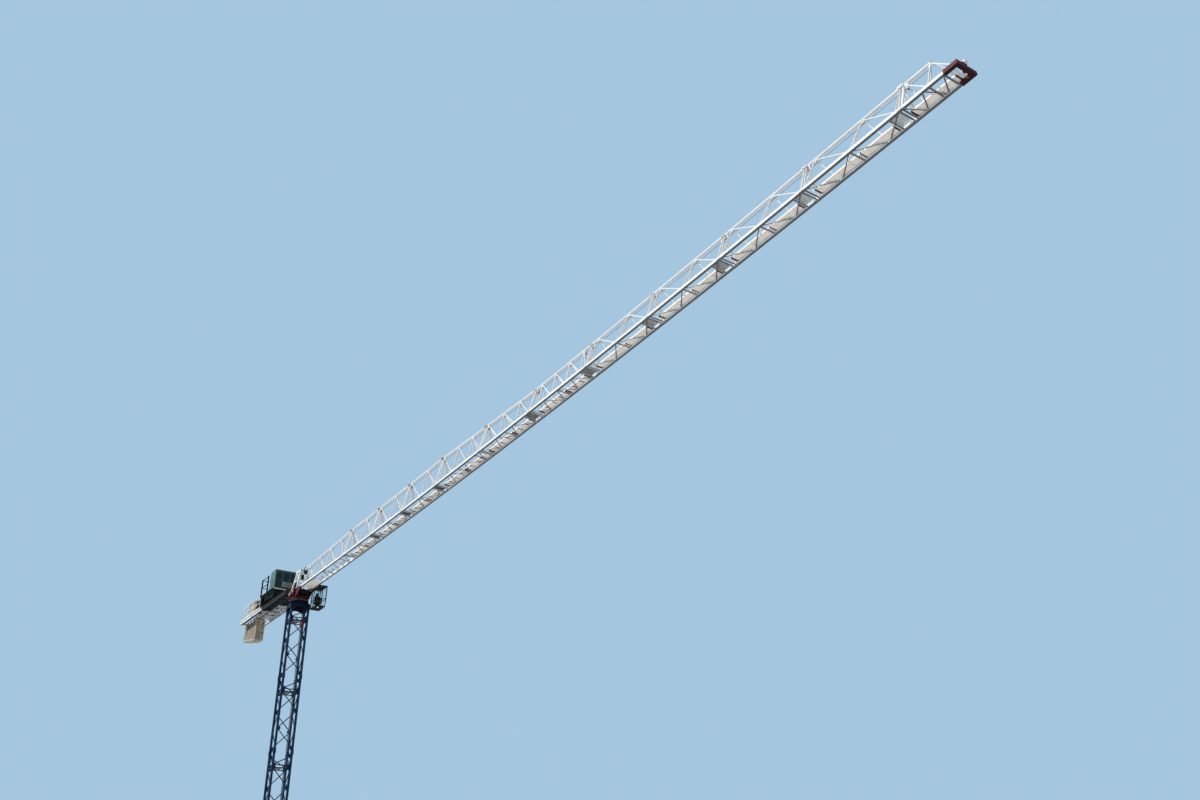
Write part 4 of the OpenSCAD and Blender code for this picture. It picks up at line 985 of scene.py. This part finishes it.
def add_deck_pieces():
    """Under the raised deck: two channel ribs, and hatches and rows of bolts on the dark hull."""
    ribs = blocks([(x, 0, 0.511, 0.024, 0.930, 0.018) for x in (-3.080, -2.940)], 0.002)
    hatches = [(x, s * 0.396, 0.385, 0.300, 0.008, 0.180) for s in (-1, 1) for x in (-2.560, -2.180, -1.880)]
    hatches += [(-1.714, y, 0.385, 0.008, 0.300, 0.180) for y in (-0.190, 0.190)]
    upper_piece("deck_ribs_and_hatches", join(ribs, blocks(hatches)), DARK)
    along = np.arange(-2.70, -1.75, 0.12)
    spots = [(x, s * 0.400, z) for s in (-1, 1) for x in along for z in (0.275, 0.500)]
    upper_piece("hull_bolts", bolts(spots, outward(spots), 0.007), STEEL)


# The counter-jib, its boxes, winch and weights

BEAM_MID = 0.030
DECK_TOP = 0.1026
COUNTER_END = box_before[0].x
SLAB_PITCH = 0.345


def add_counter_jib_pieces():
    """Splice plates with their bolts on both beams, dark sheets near the tower as painted shade, and angle
    cleats.
    """
    centres = np.array([(x, s * 0.4165, BEAM_MID) for x in (-3.98, -3.30) for s in (-1, 1)])
    normal = outward(centres)
    splice = plate(rounded(0.240, 0.088, 0.006), 0.009)
    frames = frames_at(centres, np.cross(normal, Z_AXIS), Z_AXIS)
    upper_piece("beam_splice_plates", repeat(splice, frames), WHITE)
    grid = [(x, 0, z) for x in (-0.095, -0.060, -0.025, 0.025, 0.060, 0.095) for z in (-0.026, 0.026)]
    spots = np.concatenate([centres + normal * 0.004 + step for step in grid])
    upper_piece("beam_splice_bolts", bolts(spots, np.tile(normal, (len(grid), 1)), 0.0095), STEEL)
    # Painted shade: dark sheets on the -Y beam's outer face and under the beams near the tower, where they
    # lie in shade
    bays = -0.660 - 0.495 * np.arange(5)
    shade_sheets = [(x, -0.4430, BEAM_MID, 0.485, 0.004, 0.118) for x in bays]
    shade_sheets += [(x, -0.262, -0.0335, 0.485, 0.300, 0.003) for x in bays]
    shade_sheets += [(x, 0.140, -0.0335, 0.485, 0.480, 0.003) for x in bays[:3]]
    upper_piece("beam_shade_sheets", blocks(shade_sheets, 0.001, 0.002), DARK)
    cleat = blocks([(0.022, 0, 0, 0.006, 0.040, 0.070), (0.038, 0.020, 0, 0.034, 0.006, 0.070)], 0.001, 0.001)
    spots = [(-0.440 - 0.470 * i, s * 0.378, BEAM_MID) for i in range(11) for s in (-1, 1)]
    upper_piece("cross_member_cleats", repeat(cleat, facing(spots, Z_AXIS)), WHITE)


def add_box_fittings():
    """Hinges, handles and a lid edge on the deck box, and grips on the rear cabinet."""
    y, handles_x = -0.389, (-4.40, -4.06)
    hinges = bars(*([(x + end, y, DECK_TOP + 0.455) for x in handles_x] for end in (-0.03, 0.03)), 0.007)
    on_box = frames_at([(x, y, DECK_TOP + 0.300) for x in handles_x], -Z_AXIS, X_AXIS)
    loops = repeat(handle(0.03, 0.03, 0, 0.018, 0.004), on_box)
    on_cabinet = ahead([(-3.192, v, DECK_TOP + 0.210) for v in (-0.215, -0.075, 0.010)])
    grips = repeat(handle(0.040, 0.030, 0, 0.012, 0.004), on_cabinet)
    upper_piece("box_handles", join(hinges, loops, grips), ZINC)
    upper_piece("deck_box_lid_edge", block((-4.230, -0.288, DECK_TOP + 0.4905), (0.706, 0.206, 0.014)), BEIGE)


def add_winch_pieces():
    """Rope wound on the drum in a tight layer, the motor's fins, and foot bolts."""
    drum_x, y0, y1, wraps = -3.480, 0.128, 0.352, 26
    y = np.linspace(y0, y1, 6 * wraps + 1)
    r = 0.1085 + 0.0050 * np.abs(np.sin((y - y0) / (y1 - y0) * wraps * np.pi))
    profile = [(0.100, y0 - 0.001), *zip(r, y), (0.100, y1 + 0.001)]
    along_drum = frames_at([drum_x, 0, 0.3343], Z_AXIS, X_AXIS)
    upper_piece("winch_rope", repeat(turned(profile, 40), along_drum), ROPE_STEEL, smooth=True)
    fin = np.array([(0.061, 0), (0.070, 0.002), (0.070, 0.004), (0.061, 0.006)])
    fins = fin + np.arange(0.150, 0.330, 0.012)[:, None, None] * [0, 1]
    along_motor = frames_at([-3.750, 0, 0.2503], Z_AXIS, X_AXIS)
    upper_piece("winch_motor_fins", repeat(turned(fins.reshape(-1, 2), 32), along_motor), DARK)
    spots = [(drum_x + dx, v, 0.132) for dx in (-0.350, -0.040, 0.270) for v in (0.092, 0.388)]
    upper_piece("winch_foot_bolts", bolts(spots, Z_AXIS, 0.009), STEEL)


def add_slab_pieces():
    """Square washers and nuts on the rods that tie the weights together."""
    x = COUNTER_END + 4 * SLAB_PITCH
    spots = np.array([(x, y, z) for y in (-0.120, 0.080) for z in (-0.180, -0.560)])
    washer = move(plate(rounded(0.055, 0.055, 0.004), 0.006), (0, 0, 0.003))
    upper_piece("weight_tie_washers", repeat(washer, facing(spots, X_AXIS)), STEEL)
    upper_piece("weight_tie_nuts", bolts(spots + 0.006 * X_AXIS, X_AXIS, 0.014), STEEL)


# The mast

MAST_TURN = math.radians(-6)
MAST_HALF = 0.300
MAST_SECTIONS = 5
SECTION_H = 2.55
GROUND_PLATE_R = 0.700


def mast_sides(shape):
    """A shape on the mast's -Y side, repeated on all four sides of the mast, which stands turned."""
    a = MAST_TURN + np.arange(4) * TURN / 4
    c, s, o = np.cos(a), np.sin(a), 0 * a
    columns = [[c, s, o], [-s, c, o], [o, o, o + 1], [o, o, o]]
    return repeat(shape, np.array(columns).transpose(2, 1, 0))


def add_mast_pieces():
    """Gusset plates at the brace ends, bolts through the chord sleeves, anchors and a control box."""
    zigzag = [(0.130 + 0.6282 * i, -1 if i % 2 else 1) for i in range(4)]
    level = [(z, s) for z in (2.0145, 2.1045) for s in (-1, 1)] + [(2.420, 1)]
    z, side = np.tile(np.transpose(zigzag + level), MAST_SECTIONS)
    z += FOOT_H + SECTION_H * np.repeat(np.arange(MAST_SECTIONS), len(zigzag + level))
    centres = points_at(side * (MAST_HALF - 0.030), -MAST_HALF, z)
    outline = [(0, -0.075), (0.030, -0.075), (0.085, -0.020), (0.085, 0.020), (0.030, 0.075), (0, 0.075)]
    gussets = repeat(plate(outline, 0.008), frames_at(centres, -side[:, None] * X_AXIS, Z_AXIS))
    piece("mast_gusset_plates", mast_sides(gussets), NAVY, "mast")
    collar = [(s * MAST_HALF, -0.348, FOOT_H + SECTION_H * k + dz) for k in range(1, MAST_SECTIONS)
              for s in (-1, 1) for dz in (-0.048, -0.018, 0.018, 0.048)]
    piece("mast_collar_bolts", mast_sides(bolts(collar, -Y_AXIS, 0.011)), STEEL, "mast")
    out = ring_of(4, 1.0, 0.0, MAST_TURN + TURN / 8)
    across = np.cross(Z_AXIS, out)
    spots = np.concatenate([(GROUND_PLATE_R + u) * out + v * across + [0, 0, 0.024]
                            for u in (-0.095, 0.095) for v in (-0.095, 0.095)])
    nuts = join(bolts(spots, Z_AXIS, 0.020), bars(spots, spots + [0, 0, 0.045], 0.009, 10))
    piece("anchor_nuts", nuts, STEEL, "mast")
    z = JIB_LEVEL - 1.100
    box = join(block((0, 0.225, z), (0.190, 0.090, 0.180)), block((0, 0.178, z), (0.150, 0.008, 0.140)),
               bars((0.05, 0.225, z - 0.14), (0.05, 0.225, z - 0.09), 0.008))
    piece("mast_control_box", box, SIGNAL_RED, "mast")


# View and light

CAMERA_FROM_HEAD = Vector((38.31, -13.25, -12.36))
CAMERA_PITCH = math.radians(27.32)
CAMERA_HEADING = math.radians(145.07)
CAMERA_ROLL = math.radians(-0.645)
FOCAL_PX = 1100.0
FRAME_PX = 1200.0
SENSOR_MM = 36.0
SUN_FROM = Vector((-0.30, -0.72, 0.63))
SUN_STRENGTH = 3.6
SUN_COLOUR = (1.0, 0.97, 0.93)
SKY_FILL = 0.15
SKY_LIGHT = (0.66, 0.80, 1.0)
SKY_SEEN = (0.38, 0.565, 0.74)
FLOOR_HALF = 400.0
FLOOR_LIT = (0.78, 0.77, 0.75)
FLOOR_SEEN = (0.62, 0.68, 0.74)


def make_camera():
    """The photographer stands low, out beyond the jib's tip, and looks up at the crane's head."""
    data = bpy.data.cameras.new("camera")
    data.sensor_width = SENSOR_MM
    data.lens = SENSOR_MM * FOCAL_PX / FRAME_PX
    data.clip_start = 0.1
    data.clip_end = 1000.0
    camera = in_scene("camera", data)
    camera.location = Vector((0, 0, JIB_LEVEL)) + CAMERA_FROM_HEAD
    turn = Euler((math.pi / 2 + CAMERA_PITCH, 0.0, CAMERA_HEADING - math.pi / 2)).to_matrix()
    roll = Euler((0.0, 0.0, CAMERA_ROLL)).to_matrix()
    camera.rotation_euler = (turn @ roll).to_euler()
    bpy.context.scene.camera = camera


def seen_directly(tree):
    """1 for camera, glossy and transmission rays, 0 for the light that falls on the crane."""
    path = add(tree, "LightPath").outputs
    either = reckoned("MAXIMUM", path["Is Camera Ray"], path["Is Glossy Ray"])
    return reckoned("MAXIMUM", either, path["Is Transmission Ray"])


def make_light():
    """A soft sun from the left of the view, and a blue surround that is dim as a light."""
    sun = bpy.data.lights.new("sun", "SUN")
    sun.energy = SUN_STRENGTH
    sun.color = SUN_COLOUR
    sun.angle = math.radians(4)
    in_scene("sun", sun).rotation_euler = SUN_FROM.to_track_quat("Z", "Y").to_euler()
    world = bpy.data.worlds.new("studio")
    bpy.context.scene.world = world
    world.use_nodes = True
    seen = seen_directly(world.node_tree)
    feed(world.node_tree.nodes["Background"], {
        "Color": blended(seen, SKY_LIGHT, SKY_SEEN), "Strength": plus(SKY_FILL, times(seen, 1 - SKY_FILL)),
    })


def make_floor():
    """A wide plain floor: bluish to the view, and paler to the light that it throws back up."""
    corners = FLOOR_HALF * np.array([(-1, -1, 0), (1, -1, 0), (1, 1, 0), (-1, 1, 0)])
    mesh = bpy.data.meshes.new("floor")
    mesh.from_pydata(corners.tolist(), [], [(0, 1, 2, 3)])
    material, shader, _ = start_material("pale_floor")
    seen = seen_directly(shader.id_data)
    feed(shader, {"Base Color": blended(seen, FLOOR_LIT, FLOOR_SEEN), "Roughness": 0.95})
    mesh.materials.append(material)
    floor = in_scene("floor", mesh)


paint_solids()
add_jib_gussets()
add_top_joints()
add_low_joints()
add_jib_line()
add_walkway_pieces()
add_nose_pieces()
add_head_pieces()
add_slewing_bolts()
add_turntable_pieces()
add_cab_pieces()
add_housing_doors()
add_housing_trim()
add_front_unit()
add_deck_pieces()
add_counter_jib_pieces()
add_box_fittings()
add_winch_pieces()
add_slab_pieces()
add_mast_pieces()
make_camera()
make_light()
make_floor()
bpy.context.scene.view_settings.view_transform = "Standard"
